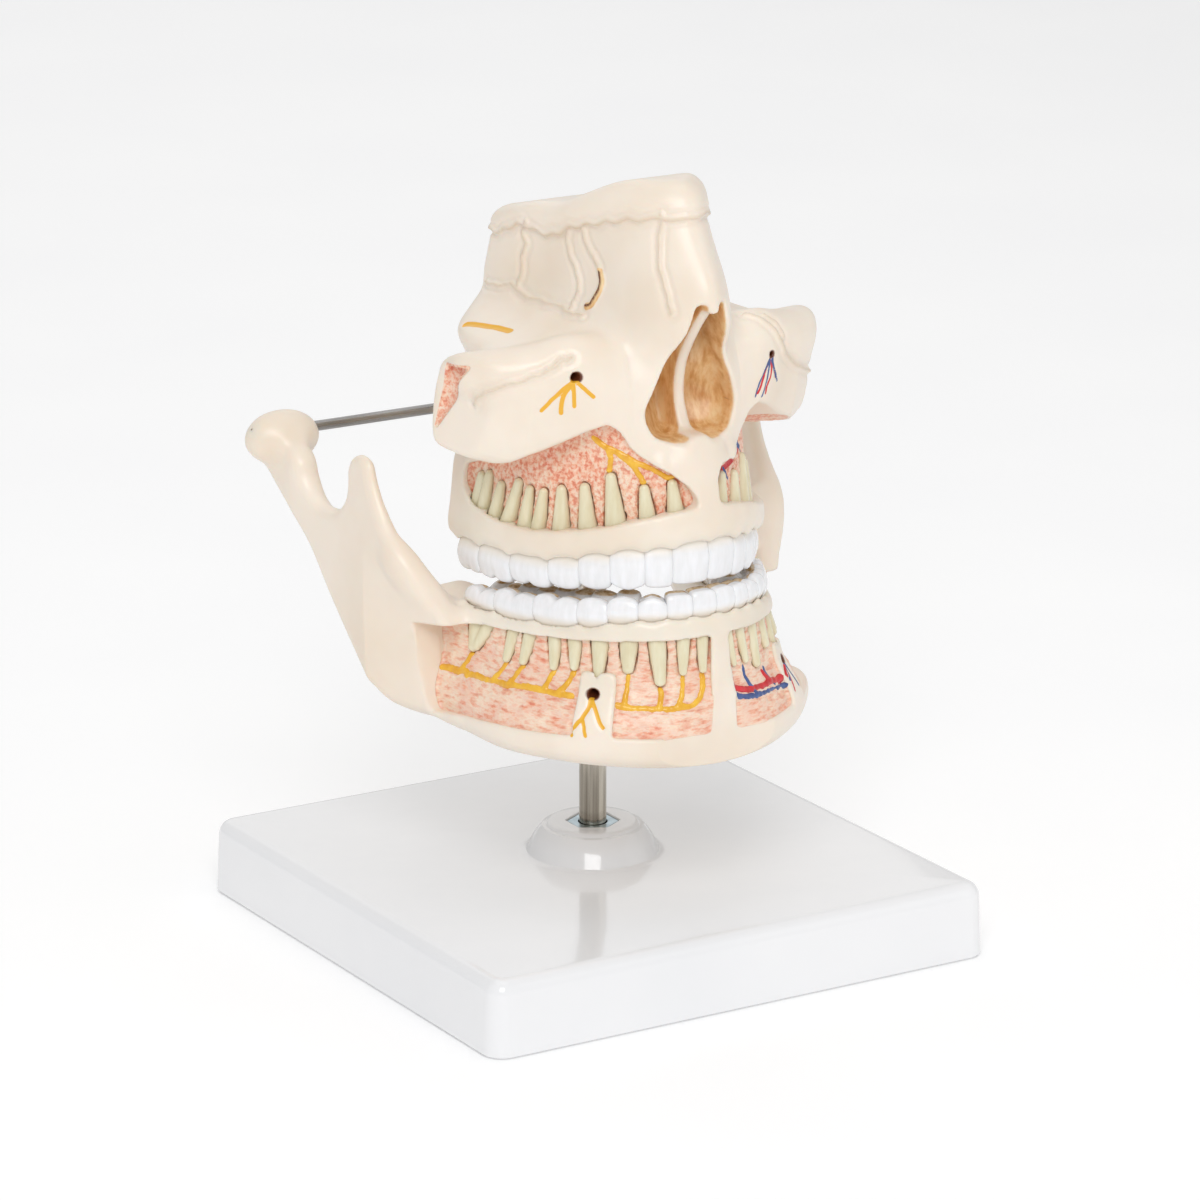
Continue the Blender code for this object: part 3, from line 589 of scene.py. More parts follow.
def crown_field(p, side, tooth, crest, upper):
    """One crown: rounded block between its neighbours, with the biting edge or cusps of its kind."""
    _, mesial, distal, across, edge, form, _ = tooth
    half = (distal - mesial - CROWN_GAP) / 2
    middle = side * (mesial + distal) / 2
    height = abs(edge - crest)
    toward = 1.0 if upper else -1.0
    c = np.clip((crest - p.z) * toward / height, -0.4, 1.2)
    u = (p.s - middle) / half * side
    if form in ("incisor", "canine"):
        face = profile(c, ((-0.4, -1.3), (0.0, -0.55), (0.3, 0.25), (0.65, 0.10), (1.2, -0.7)))
        back = profile(c, ((-0.4, -across + 0.8), (0.0, -across), (0.3, -across + 1.2), (0.7, -3.6),
                           (1.2, -2.2)))
        power, top_round = 8, 0.7
    else:
        face = profile(c, ((-0.4, -1.2), (0.0, -0.5), (0.35, 0.35), (0.7, 0.05), (1.2, -1.3)))
        back = profile(c, ((-0.4, -across + 1.0), (0.0, -across + 0.5), (0.35, -across), (0.7, -across + 0.5),
                           (1.2, -across + 1.6)))
        power, top_round = 7, 1.0
    face = face + PROUD[upper]
    w = np.abs((p.s - middle) / half)
    sides = np.abs(p.s - middle) - half
    groove = (0.30 + 0.5 * np.clip(c - 0.6, 0.0, 1.0)) * w ** power
    deep = (face - back) / 2
    v = (p.out - (face + back) / 2) / deep
    wall = smooth_max(p.out - face + groove, back + groove - p.out, 1.6)
    wall = smooth_max(wall, sides, 0.15)
    if form == "incisor":
        top = height - 0.35 * np.abs(u) ** 3
    elif form == "canine":
        top = height - 1.3 * np.abs(u) ** 1.6
    elif form == "premolar":
        top = height - 1.5 * np.exp(-(v / 0.32) ** 2) - 0.9 * np.abs(u) ** 2
    else:
        ridge = np.exp(-(v / 0.30) ** 2)
        notch = np.exp(-((u - 0.05) / 0.20) ** 2)
        top = height - 1.3 * ridge - 0.8 * notch - 0.7 * np.abs(u) ** 4
    if form == "molar":
        wall = wall + 0.30 * np.exp(-((u - 0.05) / 0.13) ** 2) * np.clip(c - 0.35, 0.0, 1.0)
    rise = (crest - p.z) * toward
    shape = smooth_max(wall, rise - top, top_round)
    return smooth_max(shape, -rise - 2.2, 1.0)


def make_teeth(arch, teeth, upper, material, body):
    crest_table = UPPER_CREST if upper else LOWER_CREST
    row = "upper" if upper else "lower"
    bars = root_bars(teeth, upper)
    for side, word in ((-1, "right"), (1, "left")):
        for tooth in teeth:
            name, mesial, distal, across, edge, form, roots = tooth
            crest = float(along((mesial + distal) / 2, crest_table, 1))
            ends = [mesial, distal, mesial, distal] + [r[0] for r in roots] + [r[1] for r in roots]
            outs = [3.0, 3.0, -across, -across] + [0.0] * 2 * len(roots)
            low, high = around(arch, side * np.array(ends), outs, 4.5)
            heights = [edge, crest] + [r[2] for r in roots]
            clay = Clay((*low, min(heights) - 2), (*high, max(heights) + 2), TOOTH_VOXEL, arch)
            clay.work(lambda p: crown_field(p, side, tooth, crest, upper))
            for where, owner, (base, tip), base_r, tip_r in bars:
                if (where, owner) == (side, name):
                    clay.work(lambda p: bar(p.a, base, tip, base_r, tip_r), 0.5)
            piece = clay.mesh(f"tooth_{row}_{word}_{name}_sculpt")
            p = spot(piece, arch)
            toward = 1.0 if upper else -1.0
            paint(piece, "root", (p.z - crest) * toward - 0.4)
            # bite marks the inner flat tops of the crowns, which the tooth material paints tan as painted
            # shade of the gap between the rows.
            rise = (crest - p.z) * toward / abs(edge - crest)
            flat = np.clip((rise - 0.78) / 0.12, 0.0, 1.0)
            inner = np.clip((0.2 - p.out) / 0.8, 0.0, 1.0)
            paint(piece, "bite", flat * inner * (0.0 if form == "incisor" and upper else 1.0))
            finish_piece(piece, material, body, "tooth", f"tooth_{row}_{word}_{name}")


# ---------------------------------------------------------------- lower jaw

RAMUS = (
    (-8, 57.4), (2, 56.6), (9, 57.2), (14.1, 60.6), (20.2, 66.9), (29, 76.2), (37.8, 85.9), (47.3, 94.3),
    (55.5, 101.5), (56.6, 108), (52.5, 112), (45.2, 108.6), (41.6, 105.6), (40.3, 101.9), (37.8, 98.8),
    (33.6, 97), (27.6, 97.6), (24, 100.8), (22.9, 104.8), (22.6, 108.3), (20.7, 111.1), (16.9, 112.5),
    (13.7, 111.1), (12.3, 107), (10, 102.4), (6, 97), (0.6, 91.4), (-4, 83.5), (-8, 74),
)
CONDYLE, CONDYLE_RADII = (50.0, 52.5, 108.6), (9.0, 5.6, 6.2)
HINGE_Y, HINGE_Z, ROD_R, GAP = 52.5, 110.0, 1.2, 0.3
PITS_LOWER = ((-23.1, 68.7, 0.95), (23.1, 68.7, 0.95))   # (s, z, radius)
PIT_OUT = 6.3


def papilla(s, teeth):
    """1 midway between two teeth, falling to 0 over each tooth's face."""
    gap = np.min([np.abs(np.abs(s) - edge) for edge in [0.0] + [tooth[2] for tooth in teeth]], axis=0)
    return np.exp(-(gap / 1.5) ** 2)


def jaw_body(p):
    """The curved part of the lower jaw that holds the teeth."""
    s = np.abs(p.s)
    back = np.clip((s - 52.0) / 30.0, 0.0, 1.0)
    crest = along(s, LOWER_CREST, 1)
    foot = jaw_foot(s)
    t = np.clip((p.z - foot) / (crest - foot), -0.1, 1.1)
    outer = jaw_outer(s, p.z)
    bulge = np.exp(-((p.s - 46.0) / 13.0) ** 2) * np.clip((0.42 - t) / 0.25, 0.0, 1.0)
    outer = outer + 2.6 * bulge
    crest = crest + 0.8 * papilla(s, LOWER_TEETH)
    inner = profile(t, ((-0.1, -2.6), (0.1, -3.6), (0.3, -5.2), (0.55, -6.8), (0.8, -8.6), (1.0, -8.0),
                        (1.1, -7.6)))
    inner = inner - 2.6 * np.clip(s / 40.0, 0.0, 1.0) * np.clip((t - 0.5) * 2.2, 0.0, 1.0) + 4.2 * back
    wall = smooth_max((p.out - outer) * 0.9, (inner - p.out) * 0.9, 1.0)
    wall = smooth_max(wall, foot - p.z, 5.0)
    wall = smooth_max(wall, p.z - crest, 1.8)
    return smooth_max(wall, s - 76.0, 4.0)


def ramus_plate(p):
    """The upright plates behind the teeth, both sides at once."""
    x = np.abs(p.x)
    middle = 46.0 + 0.035 * (p.z - 56.0) + 0.04 * p.y
    inward = np.clip((14.0 - p.y) / 18.0, 0.0, 1.0) * np.clip((95.0 - p.z) / 22.0, 0.0, 1.0)
    middle = middle - 9.5 * inward
    # the left plate's front half stands a little wider
    middle = middle + 3.4 * np.clip((34.0 - p.y) / 20.0, 0.0, 1.0) * (p.x > 0.0)
    half = profile(p.z, ((50.0, 3.5), (76.0, 3.4), (90.0, 2.8), (100.0, 1.9), (106.0, 1.6), (118.0, 1.5)))
    half = half + 1.6 * np.clip((p.y - 34.0) / 10.0, 0.0, 1.0) * np.clip((p.z - 86.0) / 14.0, 0.0, 1.0)
    side = outline(p.y[0], p.z[0], through(RAMUS, 4, closed=True))[None]
    return smooth_max(side, np.abs(x - middle) - half, 3.0)


def make_mandible(material):
    clay = Clay((-62.0, -52.0, 50.0), (62.0, 61.0, 117.5), BONE_VOXEL, LOWER)
    clay.work(jaw_body, high=(999, 40, 92))
    for side in (-1, 1):
        low, high = sorted((side * 34.0, side * 61.0))
        ends = {"low": (low, -999, 50), "high": (high, 999, 118)}
        clay.work(ramus_plate, 4.0, **ends)
        centre = (side * CONDYLE[0], *CONDYLE[1:])
        clay.work(lambda p: ball(p.q, centre, CONDYLE_RADII), 2.4, **ends)
        # crest that runs from the front edge of the ramus down to the last molar
        line = through(((side * 47.0, 6.0, 92.0), (side * 45.0, 3.0, 87.8), (side * 41.0, 0.8, 82.4),
                        (side * 38.0, 1.6, 78.6), (side * 36.0, 4.4, 77.0)), 3)
        for a, b in zip(line, line[1:]):
            clay.work(lambda p: bar(p.q, a, b, 1.4, 1.4), 4.0, low=(min(a[0], b[0]) - 9, -24, 70),
                      high=(max(a[0], b[0]) + 9, 24, 106))
        # blind bore for the rod
        low, high = sorted((side * 20.0, side * 57.9))
        clay.cut(lambda p: np.maximum(np.hypot(p.y - HINGE_Y, p.z - HINGE_Z) - ROD_R - GAP,
                                      np.maximum(low - p.x, p.x - high)),
                 0.3, low=(-62, 48, 106), high=(62, 57, 114))
    cut_windows(clay, lower_window, lower_floor, LOWER_TEETH, False)
    for s, z, r in PITS_LOWER:
        clay.cut(lambda p: ball(p.a, (s, PIT_OUT, z), (r, 4.0, r)), 0.5, low=(-40, -52, 60),
                 high=(40, -20, 76))
    piece = clay.mesh("mandible_sculpt")
    p = spot(piece, LOWER)
    # Each nerve hole and a ring round it get painted shade.
    pit = np.min([ball(p.a, (s, PIT_OUT, z), (r + 0.4, 4.4, r + 0.4)) for s, z, r in PITS_LOWER], axis=0)
    nowhere = np.full(len(p.x), FAR)
    lumps = noise((p.s, p.out, p.z * 2.2), 1.6, 3) * 0.24 + noise((p.s * 2.2, p.out, p.z), 1.3, 4) * 0.12
    colour_bone(piece, p, marrow_gap(p, lower_window, lower_floor), lumps, pit, nowhere, nowhere, LOWER_LINES)
    return finish_piece(piece, material, "lower_jaw", "bone", "mandible")


def cut_windows(clay, window, floor, teeth, upper):
    """Opens the windows down to their floor, and leaves a channel round each root."""
    bottom, top = (98.0, 129.0) if upper else (55.0, 83.0)
    clay.cut(lambda p: smooth_max(window(p), floor(p.s, p.z) - p.out, 0.5), 0.6,
             low=(-999, -999, bottom), high=(999, 30.0, top))
    for side, _, (base, tip), base_r, tip_r in root_bars(teeth, upper, 0.22):
        low, high = around(clay.arch, (base[0], tip[0]), (base[1], tip[1]), 6.0)
        clay.cut(lambda p: bar(p.a, base, tip, base_r, tip_r), 0.3,
                 low=(*low, min(base[2], tip[2]) - 5.0), high=(*high, max(base[2], tip[2]) + 5.0))
    crest = UPPER_CREST if upper else LOWER_CREST
    for side in (-1, 1):
        for tooth in teeth:
            _, mesial, distal, across, *_ = tooth
            height = float(along((mesial + distal) / 2, crest, 1))
            s = side * np.array([mesial, distal] * 2)
            low, high = around(clay.arch, s, (3.0, 3.0, -across, -across), 2.0)
            clay.cut(lambda p: crown_field(p, side, tooth, height, upper) - 0.12, 0.2,
                     low=(*low, height - 4.0), high=(*high, height + 4.0))


def marrow_gap(p, window, floor):
    """Distance to the floor of a window, negative on it."""
    depth = floor(p.s, p.z)
    gap = np.maximum(window(p) - 0.3, p.out - depth - 0.7)
    return np.where(p.out > depth - 3.0, gap, FAR)


def line_gap(p, route, waver=0.0, seed=0):
    """Distance from each mesh point to a curve that is laid on the mesh along the route."""
    line = through(route, 6 if waver else 4)
    line = line + np.random.default_rng(seed).uniform(-waver, waver, line.shape)
    reach = np.all([(c > low - FAR) & (c < high + FAR) for c, low, high in
                    zip(p.q, line.min(axis=0), line.max(axis=0))], axis=0)
    near = [c[reach] for c in p.q]
    cloud = np.stack(near, axis=1)
    line = np.array([cloud[np.argmin(((cloud - point) ** 2).sum(axis=1))] for point in line])
    line[1:-1] = (line[:-2] + 2.0 * line[1:-1] + line[2:]) / 4.0
    gap = np.full(len(p.x), FAR)
    pairs = [(a, b) for a, b in zip(line, line[1:]) if np.abs(a - b).max() > 0.01]
    gap[reach] = np.min([bar(near, a, b, 0.0, 0.0) for a, b in pairs], axis=0)
    return np.minimum(gap, FAR)


def colour_bone(piece, p, marrow, lumps, pit, nasal, seam, lines):
    """Roughens the marrow, raises painted lines, cuts sutures, and stores where each colour goes."""
    lift = lumps * np.clip(-marrow * 1.5, 0.0, 1.0)
    for colour in ("yellow", "red", "blue"):
        gap = np.full(len(p.x), FAR)
        for radius, *route in lines.get(colour, ()):
            gap = np.minimum(gap, line_gap(p, route) - radius)
        lift = lift + 0.4 * np.clip(0.35 - gap, 0.0, 1.0)
        paint(piece, colour, gap)
    # The seams are embossed here, and the bone material darkens them with painted shade.
    for number, route in enumerate(lines.get("seam", ())):
        seam = np.minimum(seam, line_gap(p, route, 0.35, number))
    lift = lift - 0.5 * np.exp(-(seam / 0.5) ** 2) + 0.35 * np.exp(-((seam - 1.2) / 0.6) ** 2)
    # The slit is sunk, painted ochre, and darkened with painted shade along its middle.
    for route in lines.get("slit", ()):
        slit = line_gap(p, route) - 0.9
        lift = lift - 0.9 * np.clip(0.3 - slit, 0.0, 1.0)
        nasal = np.minimum(nasal, slit)
        pit = np.minimum(pit, slit + 0.55)
    emboss(piece, lift)
    for name, values in (("marrow", marrow), ("pit", pit), ("nasal", nasal), ("seam", seam)):
        paint(piece, name, values)


# ---------------------------------------------------------------- upper jaw and face

# half outlines of the face, as (front height, fall per mm back, points from the front midline to the back)
FACE = (
    (108, 0, ((0, -42), (8, -40), (16, -34), (22, -25), (27, -13), (29, 0), (28, 9), (16, 12), (0, 12))),
    (118, 0, ((0, -46), (8, -42.5), (16, -36.5), (24, -29), (30, -17), (31, -2), (28, 9), (16, 14), (0, 14))),
    (127, 0, ((0, -43.5), (9, -41.5), (16, -38), (26, -32.5), (32, -20), (31, -4), (26, 9), (15, 16),
                  (0, 16))),
    (135, 0, ((0, -44), (8, -42.5), (15, -38.5), (25, -34.5), (31.5, -21), (32, -5), (27, 9), (15, 19),
                  (0, 19))),
    (141.5, 0, ((0, -48), (6, -44), (12, -38), (20, -34.5), (29.5, -26), (33, -10), (29, 8), (15, 22),
                  (0, 22))),
    (148.5, 0.03, ((0, -50), (5, -47.6), (9, -42.5), (12, -35), (16, -22), (18.5, -6), (20, 12), (14, 21),
                   (0, 24))),
    (157, 0.09, ((0, -49.5), (4, -47), (8, -42), (11, -35), (13, -22), (15.5, -6), (18, 12), (15, 20),
                   (0, 25))),
    (168, 0.17, ((0, -42.5), (4, -40.5), (8, -35.5), (11, -28), (13, -18), (15, -5), (17, 10), (15, 18),
                   (0, 24))),
    (178.6, 0.25, ((0, -38.5), (4, -36.5), (8, -32), (11, -25), (14, -16), (16.5, -4), (17, 9), (14, 17),
                   (0, 23))),
)
FACE_CENTRE = -10.0
CHEEK = (
    (20, ((-37, 133), (-33, 141), (-14, 141.5), (-6, 134), (-8, 122), (-20, 117), (-33, 119))),
    (34, ((-31.5, 134), (-28.8, 140.8), (-14, 140.6), (-8, 133), (-8, 121), (-18, 116.8), (-27, 118.6))),
    (45.5, ((-23.5, 134.6), (-22.2, 140.2), (-12.5, 140.2), (-9, 133), (-8, 122), (-12, 119.8),
            (-18.5, 121.5))),
)
CHEEK_END = 45.4
NOSTRIL = ((122.6, 3, 6.6), (124.4, 1.6, 9.6), (129, 1.4, 11.2), (134, 1.4, 9.8), (140, 1.4, 7.4),
           (146, 1.4, 5.4), (153.6, 1.4, 3.4))
PITS_UPPER = ((-25.6, -36, 138.2, 0.95), (23.3, -37.4, 137.2, 0.6))   # (x, y, z, radius)
REAR_LUG = ((-6.5, 8.0, 99.5), (6.5, 58.0, 119.0))
ORBIT, ORBIT_RADII = (37.0, -9.0, 158.5), (16.0, 20.0, 14.0)
POST_HOLE_R, POST_HOLE_TOP = 3.4, 118.3
# lines on the face, in x, y, z: seams between its bones, then painted nerves and vessels with their radius
UPPER_LINES = {
    "seam": (
        ((-17.5, 2.5, 150), (-16.5, 2, 152.5), (-16.5, 2.5, 156), (-16, 1.5, 159),
         (-16, 2.5, 161.5), (-16.5, 0, 164.5)),
        ((-16, -17.5, 148), (-14.5, -17, 150.5), (-14, -17.5, 153), (-13.5, -15, 157),
         (-14, -12.5, 161), (-14.5, -13, 165)),
        ((-13.5, -17.5, 166), (-13, -19, 162.5), (-12.5, -21.5, 160), (-12.5, -23.5, 158)),
        ((-19, 14.5, 148), (-19, 8.5, 148.5), (-18, 4, 149.5), (-18, -1.5, 148),
         (-17.5, -8, 148), (-16.5, -14, 148), (-17, -18.5, 147.5), (-16, -22, 147.5)),
        ((-6, -38, 171.5), (-6.5, -38.5, 166), (-7.5, -40, 161), (-7.5, -42, 158),
         (-7.5, -43.5, 154.5), (-7.5, -45, 152)),
        ((-26.5, -34.5, 142), (-28.5, -33.5, 141.5), (-30, -33.5, 140.5), (-34, -32, 138.5),
         (-39, -28.5, 136.5), (-42.5, -25.5, 134.5), (-45, -22, 130.5)),
        ((19.5, -31.5, 145.5), (22.5, -34, 144.5), (25, -35.5, 141.5), (27.5, -35, 137),
         (32, -32, 133), (41, -25, 128.5)),
        ((23.5, -33, 145), (26, -34, 143), (27.5, -35, 140)),
    ),
    "slit": (((-12.5, -24, 157), (-12.5, -25, 155), (-13.5, -24, 152), (-14, -23, 150),
              (-14.5, -22, 149.5)),),
    "yellow": (
        (0.95, (-29.5, 4.5, 142), (-29, 0, 143), (-28, -5.5, 143.5), (-27.5, -10.5, 143.5)),
        (0.45, (-26, -35.5, 137.5), (-28.5, -34, 135), (-30.5, -33, 133), (-32, -32, 131)),
        (0.5, (-26, -35.5, 137.5), (-28, -34.5, 134), (-28.5, -34, 130)),
        (0.45, (-26, -35.5, 137.5), (-26, -35.5, 134), (-26, -35.5, 131.5)),
        (0.45, (-25.5, -35.5, 137.5), (-24, -36.5, 135.5), (-22.5, -37.5, 134)),
    ),
    "red": (
        (0.28, (23, -37, 136.5), (21, -38, 133.5), (20, -38, 131), (19, -38, 129)),
        (0.28, (23.5, -37, 136), (23, -37, 132.5), (22, -37, 131), (21.5, -37, 129)),
        (0.28, (23.5, -37, 136), (24, -36.5, 134), (25, -36, 131.5)),
        (0.8, (2, -44.5, 114), (7.5, -43, 114.5), (12, -39.5, 116), (15.5, -36, 117.5)),
    ),
    "blue": (
        (0.28, (23, -37, 136.5), (20.5, -38, 133.5), (19, -38, 131), (18.5, -38, 128.5)),
        (0.28, (23, -37, 136), (22, -37.5, 133), (21.5, -37.5, 130.5), (20.5, -37.5, 128)),
        (0.28, (23.5, -36.5, 136), (24.5, -36.5, 133.5), (25.5, -35.5, 131)),
        (0.8, (2, -44.5, 115.5), (7.5, -43, 116.5), (12, -39.5, 117.5), (15, -36.5, 119)),
        (0.4, (15.5, -36.5, 118.5), (18.5, -32.5, 113.5)),
        (0.4, (8.5, -42, 114.5), (9.5, -41.5, 112.5)),
    ),
}


def lid_height(p):
    """Height of the cut top of the face, with a swell in its middle."""
    top_height, top_fall, top_half = FACE[-1]
    lid = top_height - 0.2 - top_fall * (p.y - top_half[0][1])
    return lid + 1.9 * np.exp(-((p.y + 26.0) / 9.0) ** 2) - 0.8 * np.exp(-((p.y + 8.0) / 6.0) ** 2)


def below_band(p):
    """How far a point lies under the wavy lower edge of the forehead bone."""
    seam = 7.4 + 0.6 * np.sin(p.x * 0.55 + p.y * 0.42) + 0.35 * np.sin(p.y * 1.1 + 1.0)
    seam = seam - 2.6 * np.clip((p.y + 18.0) / 22.0, 0.0, 1.0)
    return (lid_height(p) - p.z) - seam


def face_block(p):
    """The stacked outlines above, as one smooth block read by angle round a vertical axis."""
    angles = np.linspace(-math.pi, math.pi, 241)
    rows = []
    for _, _, half in FACE:
        half = np.array(half, float)
        ring = through(np.concatenate((half, half[-2:0:-1] * (-1, 1))), 10, closed=True)
        turn = np.arctan2(ring[:, 0], FACE_CENTRE - ring[:, 1])
        rows.append(np.interp(angles, turn[np.argsort(turn)],
                              np.hypot(ring[:, 0], ring[:, 1] - FACE_CENTRE)[np.argsort(turn)],
                              period=2 * math.pi))
    rows = through(rows, 10)
    levels = through([(height, fall, half[0][1]) for height, fall, half in FACE], 10)
    y, z = p.y.ravel(), p.z.ravel()
    row = np.stack([np.interp(z, levels[:, 0] - levels[:, 1] * (v - levels[:, 2]), np.arange(len(rows)))
                    for v in y])[None]
    turn = (np.arctan2(p.x, FACE_CENTRE - p.y) + math.pi) / (2 * math.pi) * (len(angles) - 1)
    i, j = row.astype(int).clip(0, len(rows) - 2), turn.astype(int).clip(0, len(angles) - 2)
    a, b = row - i, turn - j
    radius = ((rows[i, j] * (1 - a) + rows[i + 1, j] * a) * (1 - b)
              + (rows[i, j + 1] * (1 - a) + rows[i + 1, j + 1] * a) * b)
    lid = lid_height(p)
    # the cut-off forehead bone stands proud of the orbit walls below it
    below = below_band(p)
    band = 1.0 / (1.0 + np.exp(below / 0.3)) * (0.55 + 0.35 * np.cos(np.clip(below / 3.0, -2.0, 0.0)))
    lip = 1.2 * band + 0.3 * np.exp(-(below / 0.5) ** 2)
    wall = (np.hypot(p.x, p.y - FACE_CENTRE) - radius - lip) * 0.85
    wall = smooth_max(wall, (p.z - lid) * 0.95, 4.5)
    return smooth_max(wall, 108.0 - p.z, 1.5)


def alveolar_ridge(p):
    """The upper jaw's ridge that holds the teeth."""
    s = np.abs(p.s)
    back = np.clip((s - 40.0) / 26.0, 0.0, 1.0)
    rise = p.z - along(s, UPPER_CREST, 1) + 0.9 * papilla(s, UPPER_TEETH)
    outer = profile(rise, ((-2, 1.8), (0, 2.4), (2.5, 3.2), (5, 3.2), (9, 2.4), (17, 0.8), (24, -2.0)))
    outer = outer - back * profile(rise, ((-2, 0.6), (4.5, 1.2), (9, 1.0), (17, 0.4), (24, 0.0)))
    inner = -(8.6 + 4.0 * np.clip(s / 40.0, 0.0, 1.0))
    inner = inner - profile(rise, ((-2, -2.0), (1, -1.0), (3, 0), (8, 1.0), (20, 2)))
    wall = smooth_max(p.out - outer, inner - p.out, 1.0)
    wall = smooth_max(wall, -rise, 1.8)
    wall = smooth_max(wall, rise - 20.0, 3.0)
    return smooth_max(wall, s - 67.5, 3.0)


def cheek_stub(p):
    """Cut-off cheekbone: an outline that changes smoothly with the distance from the middle."""
    stations = [x for x, _ in CHEEK]
    rings = np.array([through(ring, 5, closed=True) for _, ring in CHEEK])
    made = []
    for x in np.abs(p.x.ravel()):
        a = np.clip(np.interp(x, stations, range(len(stations))), 0, len(rings) - 1.001)
        ring = rings[int(a)] * (1 - a % 1) + rings[int(a) + 1] * (a % 1)
        made.append(outline(p.y[0], p.z[0], ring))
    return smooth_max(np.stack(made), cheek_end(p), 1.6)


def cheek_end(p):
    """The oblique cut that ends each cheek stub; positive beyond it."""
    return np.abs(p.x) - 0.286 * (p.y + 9.0) - CHEEK_END


def nostril(p):
    """Both halves of the pear-shaped nasal opening, with the septum left between them."""
    table = np.array(NOSTRIL)
    x = np.abs(p.x - 0.3)
    inner = np.interp(p.z, table[:, 0], table[:, 1])
    outer = profile(p.z, table[:, (0, 2)])
    width = smooth_max(inner - x, (x - outer) * 0.85, 1.0)
    height = np.maximum(table[0, 0] - p.z, p.z - table[-1, 0])
    back = -29.0 + 1.5 * np.sin(p.z * 0.35) - 0.5 * x
    return smooth_max(smooth_max(width, height, 1.2), p.y - back, 2.5)


def septum_gap(p):
    """The hollow in front of the septum, deepest halfway up."""
    depth = profile(p.z, ((120.0, -41.5), (122.0, -40.0), (127.0, -37.2), (132.0, -36.0), (138.0, -37.0),
                          (143, -39.8), (148, -43.6), (152, -47), (158, -50)))
    width = np.abs(p.x - 0.3) - 2.2
    return smooth_max(np.maximum(width, p.y - depth), np.maximum(124.0 - p.z, p.z - 151.5), 1.0)


def make_maxilla(material):
    clay = Clay((-48.0, -59.5, 92.0), (48.0, 60.0, 181.0), BONE_VOXEL, UPPER)
    clay.work(alveolar_ridge, high=(999, 40, 124))
    clay.work(face_block, 2.5, low=(-40, -60, 106), high=(40, 30, 182))
    for side in (-1, 1):
        low, high = sorted((side * 14.0, side * 48.0))
        ends = {"low": (low, -48, 110), "high": (high, 4, 150)}
        clay.work(cheek_stub, 4.0, **ends)
        # lower rim of the orbit, from the cheek to the side of the nose
        rim = through(((side * 42.0, -18.0, 137.8), (side * 34.0, -24.0, 138.2), (side * 26.0, -28.5, 139.4),
                       (side * 20.0, -31.0, 141.0)), 3)
        for a, b in zip(rim, rim[1:]):
            clay.work(lambda p: bar(p.q, a, b, 1.8, 1.8), 7.0, low=(min(a[0], b[0]) - 9, -50, 126),
                      high=(max(a[0], b[0]) + 9, -8, 160))
        clay.cut(lambda p: ball(p.q, (side * ORBIT[0], *ORBIT[1:]), ORBIT_RADII), 8.0,
                 low=(min(side * 8, side * 48), -44, 128), high=(max(side * 8, side * 48), 26, 176))
    clay.work(lambda p: block(p.q, *REAR_LUG, 3.0), 5.0, low=(-14, 0, 94), high=(14, 60, 126))
    # vault of the palate
    clay.cut(lambda p: ball(p.q, (0.0, -6.0, 103.0), (19.0, 34.0, 12.0)), 3.0, low=(-24, -46, 92),
             high=(24, 7, 118))
    clay.cut(nostril, 1.2, low=(-16, -60, 118), high=(16, -16, 156))
    clay.cut(septum_gap, 1.2, low=(-10, -60, 120), high=(10, -30, 156))
    cut_windows(clay, upper_window, upper_floor, UPPER_TEETH, True)
    for x, y, z, r in PITS_UPPER:
        clay.cut(lambda p: ball(p.q, (x, y, z), (r, 4.0, r)), 0.5, low=(-32, -44, 132), high=(32, -28, 144))
    clay.cut(lambda p: cheek_face(p) + 0.1, 0.5, low=(-47, -32, 118), high=(47, 0, 146))
    # holes for the post and the rod
    clay.cut(lambda p: np.maximum(np.hypot(p.x, p.y) - POST_HOLE_R, p.z - POST_HOLE_TOP), 0.4,
             low=(-6, -6, 90), high=(6, 6, 121))
    clay.cut(lambda p: np.hypot(p.y - HINGE_Y, p.z - HINGE_Z) - ROD_R - GAP, 0.3, low=(-10, 48, 106),
             high=(10, 57, 114))
    piece = clay.mesh("maxilla_sculpt")
    p = spot(piece, UPPER)
    inside_nose = np.where(np.abs(p.x - 0.3) < 1.2, FAR, nostril(p) - 0.1)
    # Each nerve hole and a ring round it get painted shade.
    pit = np.min([ball(p.q, (x, y, z), (r + 0.4, 4.4, r + 0.4)) for x, y, z, r in PITS_UPPER], axis=0)
    marrow = np.minimum(marrow_gap(p, upper_window, upper_floor), cheek_face(p) - 0.5)
    # marrow also shows on the cut underside of each cheek, next to the window
    under = ball((np.abs(p.x), p.y, p.z), (28.0, -26.0, 118.4), (6.5, 6.5, 3.2))
    marrow = np.minimum(marrow, under)
    lumps = noise(p.q, 1.1, 5) * 0.22 + noise(p.q, 2.4, 6) * 0.12
    # Distance to the forehead band's lower edge, along which the bone material paints shade as a crease.
    band_edge = np.where(p.z > 158.0, np.abs(below_band(p) - 0.4), FAR)
    colour_bone(piece, p, marrow, lumps, pit, inside_nose, band_edge, UPPER_LINES)
    return finish_piece(piece, material, "upper_jaw", "bone", "maxilla")


def cheek_face(p):
    """Shallow triangle of open marrow on the cut face of each cheek stub."""
    triangle = outline(p.y, p.z, ((-14.0, 138.8), (-21.9, 139.6), (-9.8, 124.6)))
    return smooth_max(triangle, -0.7 - cheek_end(p), 0.3)


# ---------------------------------------------------------------- nerves and vessels

